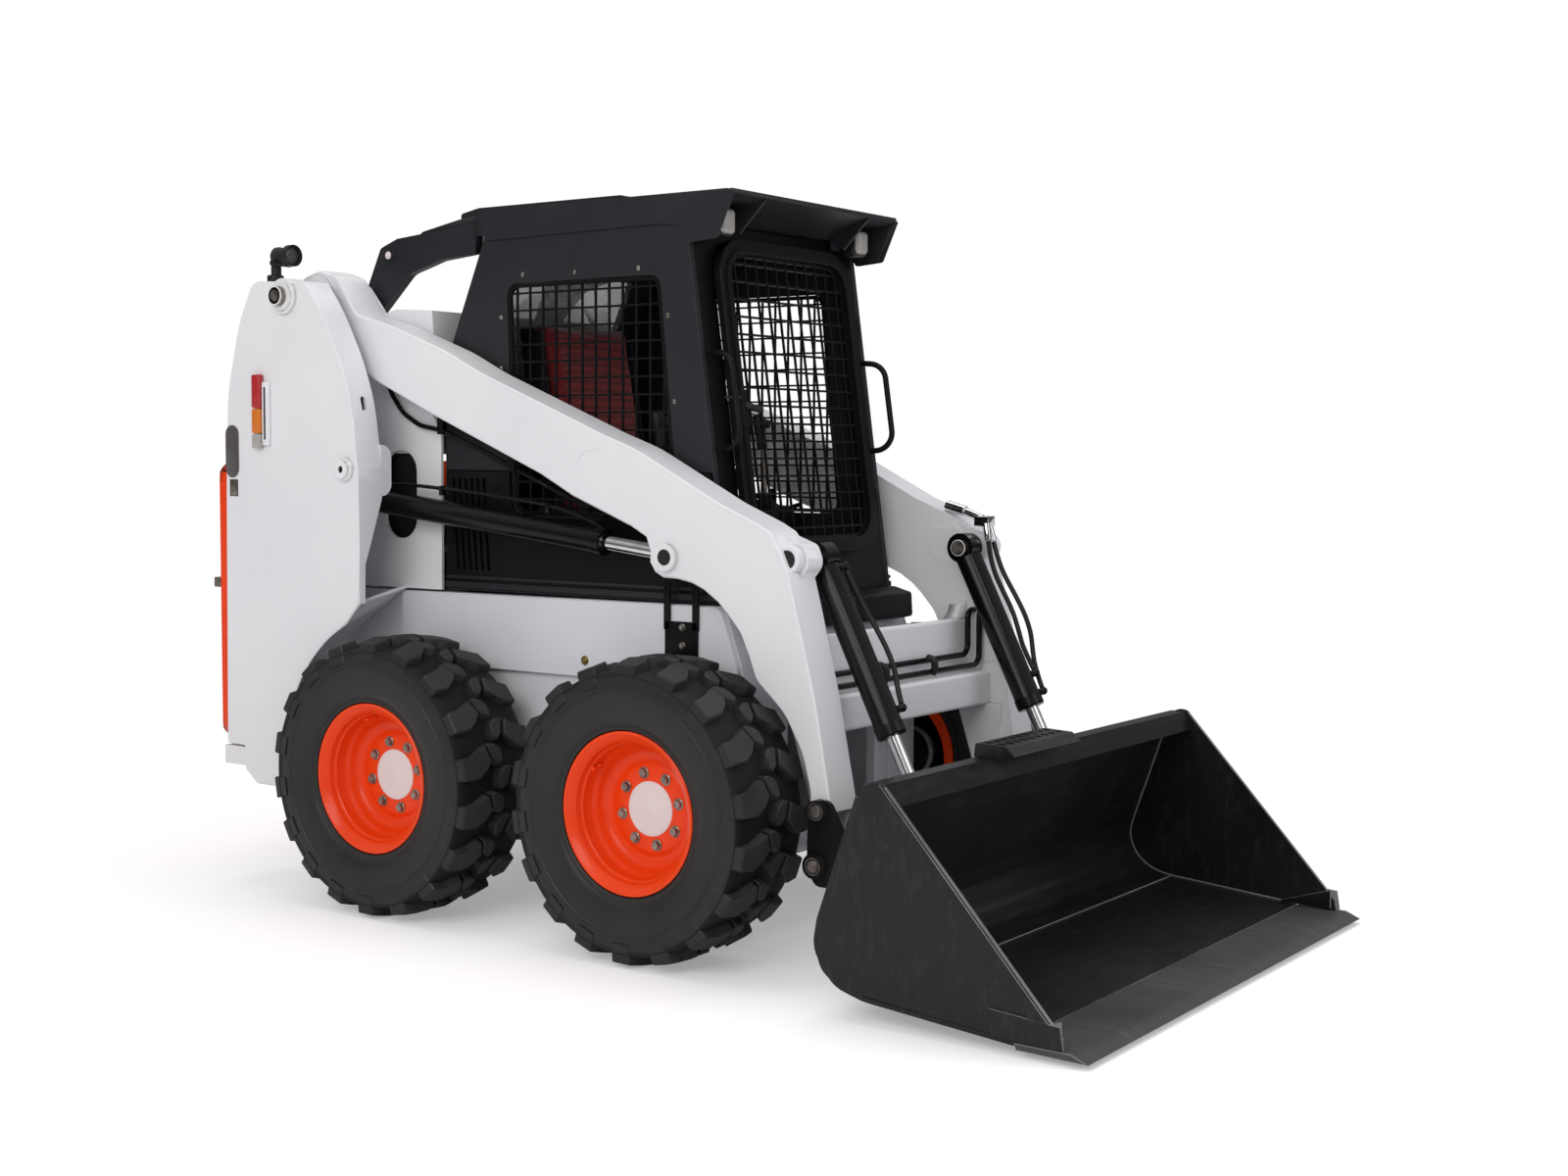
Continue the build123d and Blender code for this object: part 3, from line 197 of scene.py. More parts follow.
def bareMetal(name, values):
    material, tree, shader, place = newFinish(name, {"Metallic": 1.0, "Base Color": linear(values["base"])})
    # turning marks round the part, drawn at 3 mm
    stretched = addNode(tree, "ShaderNodeMapping", {}, {"Vector": place, "Scale": values["grain"]})
    marks = addNode(tree, "ShaderNodeTexNoise", {}, {"Vector": stretched.outputs[0], "Scale": 40.0,
        "Detail": 4.0})
    rough = addNode(tree, "ShaderNodeMapRange", {"clamp": True}, {
        "Value": marks.outputs["Fac"], "From Min": 0.3, "From Max": 0.7,
        "To Min": values["roughness"][0], "To Max": values["roughness"][1]})
    tree.links.new(rough.outputs["Result"], shader.inputs["Roughness"])
    tint = addNode(tree, "ShaderNodeValToRGB", {}, {"Fac": marks.outputs["Fac"]},
        stops=[(0.35, linear(values["shade"])), (0.6, linear(values["base"]))])
    tree.links.new(tint.outputs["Color"], shader.inputs["Base Color"])
    return material


# hard chrome plate on ground rod: mirror bright
hardChrome = bareMetal("hardChromePlate", {"base": "E4E4E6", "shade": "D2D2D5", "grain": (1, 1, 1),
    "roughness": (0.06, 0.12)})
# zinc plated fasteners: soft grey, a little rust in places
zincPlate = bareMetal("zincPlate", {"base": "A8A49C", "shade": "837A70", "grain": (1, 1, 1),
    "roughness": (0.28, 0.45)})
# pins: phosphated steel, brown-grey
pinSteel = bareMetal("phosphatedPin", {"base": "9A908A", "shade": "6E6661", "grain": (1, 1, 1),
    "roughness": (0.35, 0.5)})
# turned brass plug
turnedBrass = bareMetal("turnedBrass", {"base": "B59A5E", "shade": "8E7444", "grain": (1, 1, 1),
    "roughness": (0.2, 0.34)})


def mouldedRubber(name, values):
    material, tree, shader, place = newFinish(name, {"Metallic": 0.0, "IOR": 1.52, "Specular IOR Level": 0.32})
    bloom = addNode(tree, "ShaderNodeTexNoise", {}, {"Vector": place, "Scale": 7.0, "Detail": 6.0,
        "Roughness": 0.65})
    tint = addNode(tree, "ShaderNodeValToRGB", {}, {"Fac": bloom.outputs["Fac"]},
        stops=[(0.35, linear(values["base"])), (0.68, linear(values["bloom"]))])
    tree.links.new(tint.outputs["Color"], shader.inputs["Base Color"])
    rough = addNode(tree, "ShaderNodeMapRange", {"clamp": True}, {
        "Value": bloom.outputs["Fac"], "From Min": 0.3, "From Max": 0.7,
        "To Min": values["roughness"][0], "To Max": values["roughness"][1]})
    tree.links.new(rough.outputs["Result"], shader.inputs["Roughness"])
    grain = addNode(tree, "ShaderNodeTexNoise", {}, {"Vector": place, "Scale": 220.0, "Detail": 3.0})
    bump = addNode(tree, "ShaderNodeBump", {}, {
        "Height": grain.outputs["Fac"], "Strength": values["grain"], "Distance": 0.001})
    tree.links.new(bump.outputs[0], shader.inputs["Normal"])
    return material


# carbon-black tyre rubber: dull, greyer where dust sits in the tread
tyreRubber = mouldedRubber("tyreRubber", {"base": "222222", "bloom": "2A2929", "roughness": (0.38, 0.5),
    "grain": 0.2})
treadRubber = mouldedRubber("treadRubber", {"base": "2D2C2C", "bloom": "393837", "roughness": (0.5, 0.7),
    "grain": 0.3})
# the carcass between the lugs, made darker as painted shade where the light hardly reaches
grooveRubberPaintedShade = mouldedRubber("grooveRubberPaintedShade", {"base": "121111", "bloom": "191818", "roughness": (0.6, 0.8),
    "grain": 0.2})
# smooth hose cover, slightly shiny
hoseCover = mouldedRubber("hoseCover", {"base": "151516", "bloom": "1D1D1F", "roughness": (0.34, 0.5),
    "grain": 0.15})
# grained polypropylene of levers, lamp bodies and covers
grainedPlastic = mouldedRubber("grainedPolypropylene", {"base": "1A1A1C", "bloom": "222225",
    "roughness": (0.42, 0.6), "grain": 0.3})
# oily cast iron
castIron = mouldedRubber("oilyCastIron", {"base": "2A2A2B", "bloom": "3B3836", "roughness": (0.4, 0.65),
    "grain": 0.6})


def clearLens(name, values):
    material, tree, shader, place = newFinish(name, {
        "Base Color": linear(values["base"]), "Roughness": values["roughness"], "IOR": values["ior"],
        "Coat Weight": 0.4, "Coat Roughness": 0.05, "Alpha": values["alpha"]})
    ribs = addNode(tree, "ShaderNodeTexWave", {"bands_direction": values["ribs"]}, {
        "Vector": place, "Scale": 40.0, "Distortion": 0.0})
    bump = addNode(tree, "ShaderNodeBump", {}, {
        "Height": ribs.outputs["Fac"], "Strength": values["ribDepth"], "Distance": 0.002})
    tree.links.new(bump.outputs[0], shader.inputs["Normal"])
    return material


# grey polycarbonate sheet, see-through, and acrylic lamp lenses with 4 mm ribs
greyPolycarbonate = clearLens("greyPolycarbonate", {"base": "8D9191", "roughness": 0.12, "ior": 1.58,
    "alpha": 0.6, "ribs": "Z", "ribDepth": 0.0})
clearAcrylic = clearLens("clearAcrylic", {"base": "A9A5A1", "roughness": 0.1, "ior": 1.49, "alpha": 1.0,
    "ribs": "Y", "ribDepth": 0.5})
redAcrylic = clearLens("redAcrylic", {"base": "AE151C", "roughness": 0.12, "ior": 1.49, "alpha": 1.0,
    "ribs": "Z", "ribDepth": 0.4})
amberAcrylic = clearLens("amberAcrylic", {"base": "D47208", "roughness": 0.12, "ior": 1.49, "alpha": 1.0,
    "ribs": "Z", "ribDepth": 0.4})
smokedReflector = clearLens("smokedReflector", {"base": "4A4645", "roughness": 0.18, "ior": 1.49, "alpha": 1.0,
    "ribs": "Z", "ribDepth": 0.5})


def wovenCloth(name, values):
    material, tree, shader, place = newFinish(name, {
        "Roughness": 0.85, "Sheen Weight": values["sheen"], "Sheen Roughness": 0.5, "Specular IOR Level": 0.25})
    # threads are 0.5 mm in life; drawn at 5 mm so that the weave shows
    warp = addNode(tree, "ShaderNodeTexWave", {"bands_direction": "Y"}, {"Vector": place, "Scale": 60.0})
    weft = addNode(tree, "ShaderNodeTexWave", {"bands_direction": "X"}, {"Vector": place, "Scale": 60.0})
    weave = addNode(tree, "ShaderNodeMath", {"operation": "MULTIPLY"}, {
        0: warp.outputs["Fac"], 1: weft.outputs["Fac"]})
    tint = addNode(tree, "ShaderNodeValToRGB", {}, {"Fac": weave.outputs[0]},
        stops=[(0.0, linear(values["shade"])), (0.6, linear(values["base"]))])
    tree.links.new(tint.outputs["Color"], shader.inputs["Base Color"])
    bump = addNode(tree, "ShaderNodeBump", {}, {
        "Height": weave.outputs[0], "Strength": values["bump"], "Distance": 0.001})
    tree.links.new(bump.outputs[0], shader.inputs["Normal"])
    return material


# red woven cover on the seat, and the vinyl shell round it
redCloth = wovenCloth("redWovenCover", {"base": "8E2226", "shade": "5E181B", "sheen": 0.3, "bump": 0.4})
darkVinyl = wovenCloth("darkVinyl", {"base": "1E1D1F", "shade": "18181A", "sheen": 0.0, "bump": 0.12})
# pale painted hub disc; its slight pink is a painted reflection of the orange enamel around it
hubDisc = paintedSteel("hubDiscPaint", {**plain, "base": "E6DEDE", "shade": "DDD2D2", "dust": "C4B4AE",
    "rub": "D8CCCC"})
print("materials made", len(bpy.data.materials))


# Mesh helpers

def tidyNormals(bm):
    bmesh.ops.recalc_face_normals(bm, faces=bm.faces)


def meshOf(name, bm, smooth=35.0):
    mesh = bpy.data.meshes.new(name)
    bm.to_mesh(mesh)
    bm.free()
    mesh.shade_smooth()
    mesh.set_sharp_from_angle(angle=math.radians(smooth))
    return mesh


def newPiece(name, mesh, finish, body, replaced=()):
    piece = bpy.data.objects.new(name, mesh)
    bpy.context.scene.collection.objects.link(piece)
    finishes = finish if isinstance(finish, (list, tuple)) else [finish]
    if len(mesh.materials):
        mesh.materials.clear()
    for one in finishes:
        mesh.materials.append(one)
    if body:
        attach(piece, body)
    if replaced:
        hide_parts(*replaced)
    return piece


def plainMesh(piece, name):
    evaluated = piece.evaluated_get(bpy.context.evaluated_depsgraph_get())
    mesh = bpy.data.meshes.new_from_object(evaluated)
    mesh.name = name
    return mesh


def addBox(bm, low, high, round=0.0, segments=2):
    made = bmesh.ops.create_cube(bm, size=1.0)
    low, high = Vector(low), Vector(high)
    for vert in made["verts"]:
        vert.co = Vector([l + (c + 0.5) * (h - l) for c, l, h in zip(vert.co, low, high)])
    if round:
        edges = list({e for v in made["verts"] for e in v.link_edges})
        bmesh.ops.bevel(bm, geom=edges, offset=round, segments=segments, profile=0.5, affect="EDGES",
            clamp_overlap=True)


def addLathe(bm, profile, centre, axis, segments=32, material=0):
    axis = Vector(axis).normalized()
    side = axis.orthogonal().normalized()
    other = axis.cross(side)
    rings = []
    for radius, along in profile:
        if radius < 1e-6:
            rings.append([bm.verts.new(centre + axis * along)])
            continue
        ring = []
        for n in range(segments):
            turn = 2 * math.pi * n / segments
            out = side * math.cos(turn) + other * math.sin(turn)
            ring.append(bm.verts.new(centre + axis * along + out * radius))
        rings.append(ring)
    for low, high in zip(rings, rings[1:]):
        for n in range(segments):
            after = (n + 1) % segments
            if len(low) == 1 and len(high) == 1:
                continue
            if len(low) == 1:
                corners = [low[0], high[after], high[n]]
            elif len(high) == 1:
                corners = [low[n], low[after], high[0]]
            else:
                corners = [low[n], low[after], high[after], high[n]]
            face = bm.faces.new(corners)
            face.material_index = material


def addRod(bm, start, end, radius, segments=20, round=0.0):
    start, end = Vector(start), Vector(end)
    length = (end - start).length
    lip = min(round, radius * 0.9, length * 0.45)
    profile = [(0, 0), (radius - lip, 0), (radius, lip), (radius, length - lip), (radius - lip, length),
               (0, length)]
    if lip == 0:
        profile = [(0, 0), (radius, 0), (radius, length), (0, length)]
    addLathe(bm, profile, start, end - start, segments)


def addPlate(bm, points, low, high, round=0.0, segments=2):
    bottom = [bm.verts.new(at(x, low, z)) for x, z in points]
    top = [bm.verts.new(at(x, high, z)) for x, z in points]
    faces = [bm.faces.new(bottom), bm.faces.new(top[::-1])]
    count = len(points)
    for n in range(count):
        faces.append(bm.faces.new([bottom[n], top[n], top[(n + 1) % count], bottom[(n + 1) % count]]))
    bmesh.ops.recalc_face_normals(bm, faces=faces)
    if round:
        edges = list({e for v in bottom + top for e in v.link_edges})
        bmesh.ops.bevel(bm, geom=edges, offset=round, segments=segments, profile=0.5, affect="EDGES",
            clamp_overlap=True)


def addTube(bm, points, radius, segments=12):
    path = [Vector(p) for p in points]
    rings = []
    side = None
    for n, point in enumerate(path):
        ahead = (path[min(n + 1, len(path) - 1)] - path[max(n - 1, 0)]).normalized()
        side = ahead.orthogonal() if side is None else side - ahead * side.dot(ahead)
        side.normalize()
        other = ahead.cross(side)
        rings.append([bm.verts.new(point + (side * math.cos(t) + other * math.sin(t)) * radius)
            for t in [2 * math.pi * k / segments for k in range(segments)]])
    for low, high in zip(rings, rings[1:]):
        for k in range(segments):
            after = (k + 1) % segments
            bm.faces.new([low[k], low[after], high[after], high[k]])
    bm.faces.new(rings[0][::-1])
    bm.faces.new(rings[-1])


def smoothPath(points, steps=8):
    path = [Vector(p) for p in points]
    line = []
    for n in range(len(path) - 1):
        before, a, b, after = path[max(n - 1, 0)], path[n], path[n + 1], path[min(n + 2, len(path) - 1)]
        for s in range(steps):
            t = s / steps
            line.append(0.5 * (2 * a + (b - before) * t + (2 * before - 5 * a + 4 * b - after) * t * t
                + (3 * a - before - 3 * b + after) * t ** 3))
    return line + [path[-1]]


# CAD nodes whose shape is right get a merged copy with worked edges

def placesCrossed(face):
    side = face.normal.orthogonal().normalized()
    other = face.normal.cross(side)
    flat = [Vector((v.co.dot(side), v.co.dot(other))) for v in face.verts]
    count = len(flat)
    places = []
    for i in range(count - 2):
        a, b = flat[i], flat[i + 1]
        left, right, low, high = min(a.x, b.x), max(a.x, b.x), min(a.y, b.y), max(a.y, b.y)
        for j in range(i + 2, count - (1 if i == 0 else 0)):
            c, d = flat[j], flat[(j + 1) % count]
            if max(c.x, d.x) < left or min(c.x, d.x) > right or max(c.y, d.y) < low or min(c.y, d.y) > high:
                continue
            if geometry.intersect_line_line_2d(a, b, c, d):
                places.append((face.verts[i].co + face.verts[i + 1].co) / 2)
    return places


rounding = {"tries": 6, "narrowest": 2.2, "clearance": 3.5}


# rounds the sharp edges, and leaves out the ones where the sheet is too narrow for it
def roundEdges(bm, width, smooth, edgeMaterial):
    tight = []
    for attempt in range(rounding["tries"]):
        work = bm.copy()
        chosen = []
        for edge in work.edges:
            if len(edge.link_faces) != 2 or edge.calc_face_angle(0.0) < smooth:
                continue
            if min(f.calc_area() for f in edge.link_faces) < rounding["narrowest"] * width * edge.calc_length():
                continue
            a, b = edge.verts[0].co, edge.verts[1].co
            clear = rounding["clearance"] * width
            if any(min((a - p).length, (b - p).length, distanceTo(a, b, p)) < clear for p in tight):
                continue
            chosen.append(edge)
        bmesh.ops.bevel(work, geom=chosen, offset=width, offset_type="OFFSET", segments=2, profile=0.5,
            affect="EDGES",
            clamp_overlap=False, material=edgeMaterial)
        crossed = [place for face in work.faces if len(face.verts) > 4 for place in placesCrossed(face)]
        if not crossed:
            return work
        tight += crossed
        work.free()
    print("left sharp after", len(tight), "tight places")
    return bm.copy()


def distanceTo(a, b, point):
    nearest, share = geometry.intersect_point_line(point, a, b)
    return (point - nearest).length if 0 < share < 1 else 1.0


def evenNormals(piece, name):
    weighted = piece.modifiers.new("evenNormals", "WEIGHTED_NORMAL")
    weighted.keep_sharp = True
    weighted.weight = 80
    piece.data = plainMesh(piece, name)
    piece.modifiers.clear()


edgeWearAndHighlightWidth = 0.014
foldedSharply = 0.9


# the edge of a plate, rubbed bright where earth slides over it and lighter still as a painted highlight
def thinEdge(face):
    if 2 * face.calc_area() > edgeWearAndHighlightWidth * face.calc_perimeter():
        return False
    longest = max(e.calc_length() for e in face.edges)
    return all(e.calc_face_angle(0.0) > foldedSharply for e in face.edges if e.calc_length() > 0.5 * longest)


def dressNode(node, finish, width=0.0025, edge=None, smooth=40.0):
    mesh = nodes[node].data.copy()
    bm = bmesh.new()
    bm.from_mesh(mesh)
    mesh.materials.clear()
    bmesh.ops.remove_doubles(bm, verts=bm.verts, dist=0.0002)
    bmesh.ops.dissolve_limit(bm, angle_limit=math.radians(0.8), verts=bm.verts, edges=bm.edges)
    for face in bm.faces:
        face.material_index = 1 if edge and thinEdge(face) else 0
    if width:
        rounded = roundEdges(bm, width, math.radians(smooth), 1 if edge else 0)
        bm.free()
        bm = rounded
    bm.to_mesh(mesh)
    bm.free()
    mesh.materials.append(finish)
    if edge:
        mesh.materials.append(edge)
    mesh.shade_smooth()
    mesh.set_sharp_from_angle(angle=math.radians(50.0 if width else smooth))
    name = "".join(w.capitalize() if i else w for i, w in enumerate(node.split("_"))) + "Dressed"
    piece = bpy.data.objects.new(name, mesh)
    bpy.context.scene.collection.objects.link(piece)
    evenNormals(piece, name)
    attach(piece, nodes[node]["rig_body"])
    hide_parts(node)
    return piece


dressed = {
    "chassis_frame": (chassisWhiteShaded, 0.004, "chassis_paint"), "axle_tubes": (castIron, 0.003, "cast_block"),
    "tower_right": (powderWhite, 0.0025, "white_paint"), "tower_left": (powderWhite, 0.0025, "white_paint"),
    "rear_bumper": (powderWhite, 0.002, "white_paint"), "engine_block": (castIron, 0.012, "cast_block"),
    "engine_hood": (powderWhite, 0.004, "white_paint"), "cab_sides": (blackPaintLitCopy, 0.003, "black_paint"),
    "cab_front": (blackPaintShadedCopy, 0.004, "black_paint"), "cab_rear": (blackPaintLitCopy, 0.003, "black_paint"),
    "cab_roof": (blackPaintLitCopy, 0.004, "black_paint"), "side_panels": (blackPaintShadedCopy, 0.002, "black_paint"),
    "tail_door": (orangeEnamel, 0.004, "orange_paint"), "cab_door": (blackPaintShadedCopy, 0.004, "black_paint"),
    "boom_crossmember": (powderWhite, 0.005, "white_paint"), "boom_tubes": (cylinderBlack, 0.0, "tube_steel"),
    "pivot_guards": (blackPaintShadedCopy, 0.003, "black_paint"), "auxiliary_coupler": (hardChrome, 0.0015, "chrome_rod"),
    "coupler": (blackPaintShadedCopy, 0.003, "black_paint"),
}
for node, (finish, width, slot) in dressed.items():
    dressNode(node, finish, width)
for side in ("right", "left"):
    dressNode(f"boom_arm_{side}", powderWhite, 0.003)
    dressNode(f"lift_barrel_{side}", cylinderBlack, 0.0015)
    dressNode(f"tilt_barrel_{side}", cylinderBlack, 0.0015)
    dressNode(f"lift_rod_{side}", hardChrome, 0.001)
    dressNode(f"tilt_rod_{side}", hardChrome, 0.001)
dressNode("bucket", bucketPaint, 0.003, edge=scrapedSteelAndHighlight)
dressNode("bucket_edge", cuttingSteel, 0.002, edge=scrapedSteelAndHighlight)
dressNode("bucket_step", bucketPaint, 0.001, edge=scrapedSteelAndHighlight)
for node, finish in (("side_meshes", blackPaintShadedCopy), ("cab_door_mesh", blackPaintShadedCopy),
    ("rear_window", greyPolycarbonate)):
    dressNode(node, finish, 0.0)
print("CAD nodes dressed", len(dressed) + 15)


# Copies round an axle, made by Geometry Nodes

def ringTree(name):
    tree = bpy.data.node_groups.new(name, "GeometryNodeTree")
    tree.interface.new_socket("Geometry", in_out="INPUT", socket_type="NodeSocketGeometry")
    for label, kind in (("Part", "NodeSocketObject"), ("Count", "NodeSocketInt"), ("Start", "NodeSocketFloat"),
        ("Mirror", "NodeSocketFloat"), ("Finish", "NodeSocketMaterial")):
        tree.interface.new_socket(label, in_out="INPUT", socket_type=kind)
    tree.interface.new_socket("Geometry", in_out="OUTPUT", socket_type="NodeSocketGeometry")
    given = addNode(tree, "NodeGroupInput").outputs
    line = addNode(tree, "GeometryNodeMeshLine", {}, {"Count": given["Count"], "Offset": (0.0, 0.0, 0.0)})
    part = addNode(tree, "GeometryNodeObjectInfo", {}, {"Object": given["Part"]})
    index = addNode(tree, "GeometryNodeInputIndex")
    step = addNode(tree, "ShaderNodeMath", {"operation": "DIVIDE"}, {0: 2 * math.pi, 1: given["Count"]})
    turn = addNode(tree, "ShaderNodeMath", {"operation": "MULTIPLY_ADD"}, {
        0: index.outputs[0], 1: step.outputs[0], 2: given["Start"]})
    rotation = addNode(tree, "ShaderNodeCombineXYZ", {}, {"Y": turn.outputs[0]})
    scale = addNode(tree, "ShaderNodeCombineXYZ", {}, {"X": 1.0, "Y": given["Mirror"], "Z": 1.0})
    copies = addNode(tree, "GeometryNodeInstanceOnPoints", {}, {
        "Points": line.outputs[0], "Instance": part.outputs["Geometry"], "Rotation": rotation.outputs[0],
        "Scale": scale.outputs[0]})
    real = addNode(tree, "GeometryNodeRealizeInstances", {}, {"Geometry": copies.outputs[0]})
    finished = addNode(tree, "GeometryNodeSetMaterial", {},
        {"Geometry": real.outputs[0], "Material": given["Finish"]})
    addNode(tree, "NodeGroupOutput", {}, {"Geometry": finished.outputs[0]})
    return tree


copiesRound = ringTree("copiesRoundAxle")


def ringOf(part, count, start, mirror, finish):
    carrier = bpy.data.objects.new("carrier", bpy.data.meshes.new("carrier"))
    bpy.context.scene.collection.objects.link(carrier)
    modifier = carrier.modifiers.new("ring", "NODES")
    modifier.node_group = copiesRound
    wanted = {"Part": part, "Count": count, "Start": start, "Mirror": mirror, "Finish": finish}
    for item in copiesRound.interface.items_tree:
        if item.in_out == "INPUT" and item.name in wanted:
            modifier[item.identifier] = wanted[item.name]
    mesh = plainMesh(carrier, "ring")
    bpy.data.objects.remove(carrier)
    return mesh


tyreSizes = {"lugs": 18, "segments": 108, "grooveShadeFrom": 0.382, "radius": 425.0}
wheelPlace = {"x": 500, "y": 681, "z": 425}


def wheelPlaces():
    for end, x in (("front", wheelPlace["x"]), ("rear", -wheelPlace["x"])):
        for side, sign in (("left", 1), ("right", -1)):
            centre = at(x, wheelPlace["y"] * sign, wheelPlace["z"])
            yield end, side, sign, Matrix.Translation(centre) @ Matrix.Scale(sign, 4, (0, 1, 0))


def carcassProfile():
    # across the axle and out from it, in millimetres, from the bead to the middle of the tread
    half = [(104, 211), (112, 212), (119, 229.5), (131, 231), (134, 236), (133.5, 245), (136.5, 248),
            (139.5, 254), (145, 274), (148.6, 305), (149.6, 329), (152, 332), (152, 336), (149.4, 339),
            (148.6, 362), (145.6, 378), (149.6, 381), (149.6, 385), (144, 388), (134, 391), (118, 393),
            (60, 395)]
    return [(y / 1000, r / 1000) for y, r in half] + [(-y / 1000, r / 1000) for y, r in half[::-1]]


def lugMesh():
    bm = bmesh.new()
    outlines = [
        # shoulder bar with a kink
        ([(-43, 149), (28, 149), (31, 98), (57, 54), (8, 34), (-20, 62), (-43, 92)], 425.0, 2.5),
        # rounded knob at the middle of the tread
        ([(61, 48), (65, 25), (53, -2), (38, -14), (2, -14), (-11, 2), (8, 29)], 422.0, 4.5),
    ]
    for points, topRadius, inset in outlines:
        middle = Vector((sum(p[0] for p in points), sum(p[1] for p in points))) / len(points)
        bottom, top = [], []
        for x, y in points:
            away = (Vector((x, y)) - middle).normalized()
            shoulder = y > 140
            crown = topRadius - 7.0 * (y / 150) ** 2 - (6.0 if shoulder else 0.0)
            for ring, radius, shift, across in ((bottom, 356.0 if shoulder else 390.0, 3.0,
                151.8 if shoulder else y), (top, crown, -inset, 146.0 if shoulder else y)):
                px, py = x + away.x * shift, across if shoulder else y + away.y * shift
                turn = px / tyreSizes["radius"]
                ring.append(bm.verts.new(Vector((radius * math.sin(turn), py,
                    -radius * math.cos(turn))) / 1000))
        bm.faces.new(top)
        cap = [bm.edges.get((top[n], top[(n + 1) % len(top)])) for n in range(len(top))]
        for n in range(len(points)):
            after = (n + 1) % len(points)
            bm.faces.new([bottom[n], bottom[after], top[after], top[n]])
        uprights = [bm.edges.get((bottom[n], top[n])) for n in range(len(points))]
        bmesh.ops.bevel(bm, geom=cap + uprights, offset=0.0038, segments=1, profile=0.5, affect="EDGES")
    tidyNormals(bm)
    mesh = bpy.data.meshes.new("lug")
    bm.to_mesh(mesh)
    bm.free()
    return mesh


def makeTyres():
    bm = bmesh.new()
    addLathe(bm, [(r, y) for y, r in carcassProfile()], Vector((0, 0, 0)), (0, 1, 0), tyreSizes["segments"])
    lug = bpy.data.objects.new("lugSource", lugMesh())
    bpy.context.scene.collection.objects.link(lug)
    step = 2 * math.pi / tyreSizes["lugs"]
    rows = [ringOf(lug, tyreSizes["lugs"], 0.0, 1.0, treadRubber),
            ringOf(lug, tyreSizes["lugs"], step / 2, -1.0, treadRubber)]
    tidyNormals(bm)
    carcassFaces = len(bm.faces)
    for mesh in rows:
        bm.from_mesh(mesh)
    bm.faces.ensure_lookup_table()
    bmesh.ops.recalc_face_normals(bm, faces=bm.faces[carcassFaces:])
    # carcass faces out towards the tread take the darker groove rubber: painted shade between the lugs
    for n, face in enumerate(bm.faces):
        middle = face.calc_center_median()
        if n < carcassFaces:
            face.material_index = 2 if math.hypot(middle.x, middle.z) > tyreSizes["grooveShadeFrom"] else 0
        else:
            face.material_index = 0 if abs(face.normal.y) > 0.6 else 1
    for mesh in rows:
        bpy.data.meshes.remove(mesh)
    base = meshOf("tyreBase", bm, 30.0)
    bpy.data.objects.remove(lug)
    for end, side, sign, place in wheelPlaces():
        mesh = base.copy()
        mesh.transform(place)
        if sign < 0:
            mesh.flip_normals()
        newPiece(f"tyre{end.capitalize()}{side.capitalize()}", mesh,
                 [tyreRubber, treadRubber, grooveRubberPaintedShade], f"wheel_{end}_{side}",
                 [f"tyre_{end}_{side}"])
    bpy.data.meshes.remove(base)


makeTyres()
print("tyres made")

rimSizes = {"boltCircle": 0.1016, "bolts": 8, "firstBolt": math.radians(122)}


def hexBolt():
    bm = bmesh.new()
    radius = rimSizes["boltCircle"]
    addLathe(bm, [(0, 0.0), (0.0165, 0.0), (0.0165, 0.0025), (0.0150, 0.0035), (0, 0.0035)],
             Vector((0, 0.0245, -radius)), (0, 1, 0), 20)
    addLathe(bm, [(0.0125, 0.0), (0.0125, 0.0065), (0.0112, 0.0085), (0.0, 0.0085)],
             Vector((0, 0.0275, -radius)), (0, 1, 0), 6)
    tidyNormals(bm)
    mesh = bpy.data.meshes.new("hexBolt")
    bm.to_mesh(mesh)
    bm.free()
    return mesh


